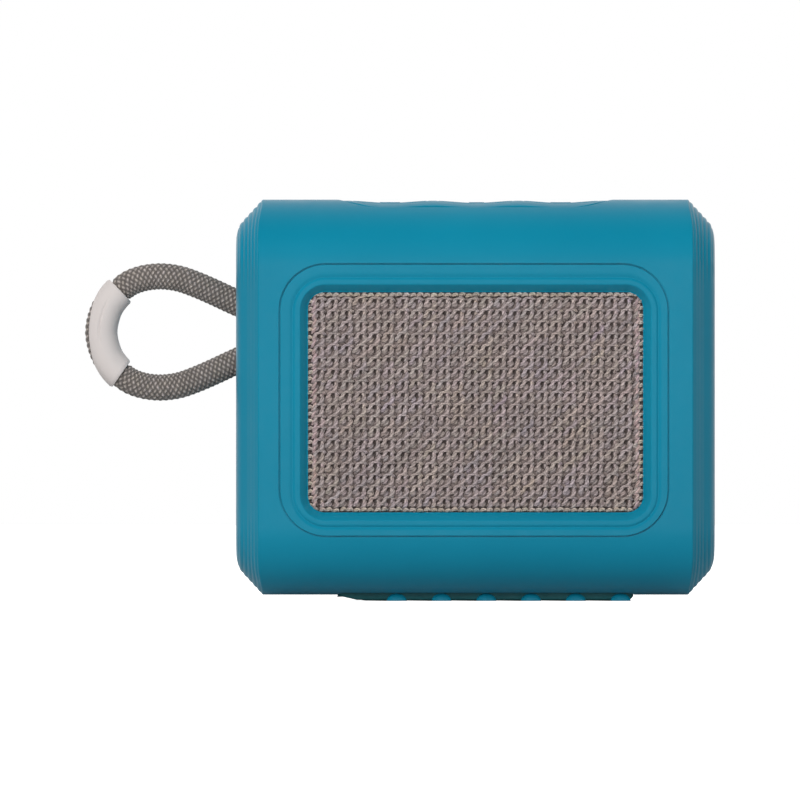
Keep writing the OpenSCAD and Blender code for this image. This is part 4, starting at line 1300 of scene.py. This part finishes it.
def make_port_cover():
    """The charging port's cover: a plate with a finger notch, on a hinge barrel with two pins."""
    low, high = span("port_cover")
    barrel_r = 0.8
    width = 11
    hinge = (HINGE_X, HINGE_Z)
    stations = [(high[0] - 2 * barrel_r, 0)] + rounded_end(high[0], -1, 0.3)[::-1]
    shape = outline(width, high[2] - HINGE_Z, 1.4, arc=8, across=8, up=12)
    cover = cutter(shape, "x", stations, (SIDE_Y, (high[2] + HINGE_Z) / 2))
    cover.name = "charging_cover"
    left, right = SIDE_Y - width / 2, SIDE_Y + width / 2
    barrel = rounded_end(left, 1, 0.25)[::-1] + rounded_end(right, -1, 0.25)
    solids = [
        cutter(outline(width, 3.2, 0.2), "x", stations, (SIDE_Y, HINGE_Z + 1.6)),
        cutter(round_outline(barrel_r), "y", sorted(barrel), hinge),
        cutter(round_outline(0.5, 24), "y", [(low[1] - 0.6, 0), (high[1] + 0.6, 0)], hinge),
    ]
    combine(cover, solids, "UNION")
    notch = cutter(outline(5, 1.6, 0.7), "x", [(high[0] + 1, 0), (high[0] - 0.6, 0)], (SIDE_Y, 36.9))
    weigh_normals(combine(cover, [notch]), 40)
    finish_piece(cover, "cover", "cover_rubber", "port_cover")


# ---- Back ----


def make_radiator_plate():
    """The radiator's plate: a raised racetrack with a rounded edge and a shallow stepped dish."""
    profile = [
        (17.3, 0), (18.26, 0), (18.3, -0.05), (18.3, -1), (19.0, -1), (19.1, -1.03), (19.17, -1.1),
        (19.2, -1.25), (19.2, -2.4), (19.17, -2.55), (19.08, -2.7), (19.03, -2.85), (19.0, -3.1),
        (18.96, -7), (18.95, -11),
    ]
    rings = sweep(racetrack(11.3), "y", profile, (0, CLOTH_Z))
    plate = weigh_normals(add_mesh("radiator_disc", *loft(rings)), 40)
    # The CAD model's own plain material has the slot's name. The worked one is in FINISHES
    plain = bpy.data.materials["plate_plastic"]
    finish_piece(plate, "radiator", "plate_plastic", "radiator_plate", material=plain)


def flexible_ring(name, node, slot, body, section, held, driven, straight=0):
    """A ring held at its rim, beyond the radius held, that follows body inside the radius driven.

    section is the (radius, y) places round the ring's wall, and straight half the length of the
    straight part of a racetrack.
    """
    outer = section[0][0]
    shape = racetrack(outer) if straight else round_outline(outer, 96)
    rings = sweep(shape, "y", [(y, r - outer) for r, y in section], (0, CLOTH_Z))
    ring = add_mesh(name, *loft(rings, loop=True), sharp_angle=50)
    ring.data.materials.append(bpy.data.materials[slot])
    middle = np.array((0, section[0][1], CLOTH_Z))
    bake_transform(ring, "root", body, start=(middle + (0, 0, held)) * MM, end=(middle + (0, 0, driven)) * MM)
    weights = ring.data.attributes["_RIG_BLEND"].data
    for vertex, weight in zip(ring.data.vertices, weights):
        x, _, z = vertex.co / MM
        reach = math.hypot(max(abs(x) - straight, 0), z - CLOTH_Z)
        weight.value = 1 - float(smoothstep(driven, held, reach))
    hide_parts(node)


def arch(middle, roll, y, side, last=math.pi):
    """Places round a half-roll, from its outer foot to its inner one."""
    angles = np.linspace(0, last, 17)
    return [(middle + roll * math.cos(a), y + side * roll * math.sin(a)) for a in angles]


def make_flexible_rings():
    """The surrounds of the radiator and the cone, and the corrugated spider behind the cone."""
    section = (
        [(15.0, 18.72)] + arch(12.7, 1.5, 18.5, 1) + [(10.4, 18.72), (10.4, 18.3)]
        + arch(12.7, 1.1, 18.5, 1)[::-1] + [(15.0, 18.3)]
    )
    flexible_ring(
        "radiator_roll", "radiator_surround", "black_rubber", "radiator", section, 14.0, 11.4,
        straight=RADIATOR_C,
    )
    flange = span("driver_surround")[1][1]
    foot = flange - 0.4
    section = (
        [(20.4, flange), (20.4, foot)] + arch(18.1, 1.5, foot, -1, last=math.pi - 0.41)
        + [(15.8, flange - 1), (15.8, flange - 0.6)]
        + arch(18.1, 1.1, foot, -1, last=math.pi - 0.18)[::-1] + [(19.2, flange)]
    )
    flexible_ring("cone_roll", "driver_surround", "black_rubber", "driver", section, 19.2, 17.0)
    radii = np.linspace(18.6, 7.0, 80)
    wave = 0.26 * np.sin(math.pi * radii) * smoothstep(7.6, 8.6, radii)
    wave *= 1 - smoothstep(16.2, 17.2, radii)
    middle = flange + 4.75 + wave
    section = list(zip(radii, middle - 0.12)) + list(zip(radii[::-1], middle[::-1] + 0.12))
    flexible_ring("spider_disc", "spider", "spider_cloth", "driver", section, 17.4, 8.6)


# ---- Build ----

make_camera()
make_light()
make_floor()
finish_cad_nodes()
make_loop()
make_shell()
make_rear_cover()
make_grille_frame()
make_cloth()
make_top()
make_foot()
make_rib_highlight_tips()
make_end_button("power", POWER_Z)
make_end_button("pairing", PAIRING_Z)
make_port_cover()
make_key_signs()
make_radiator_plate()
make_flexible_rings()
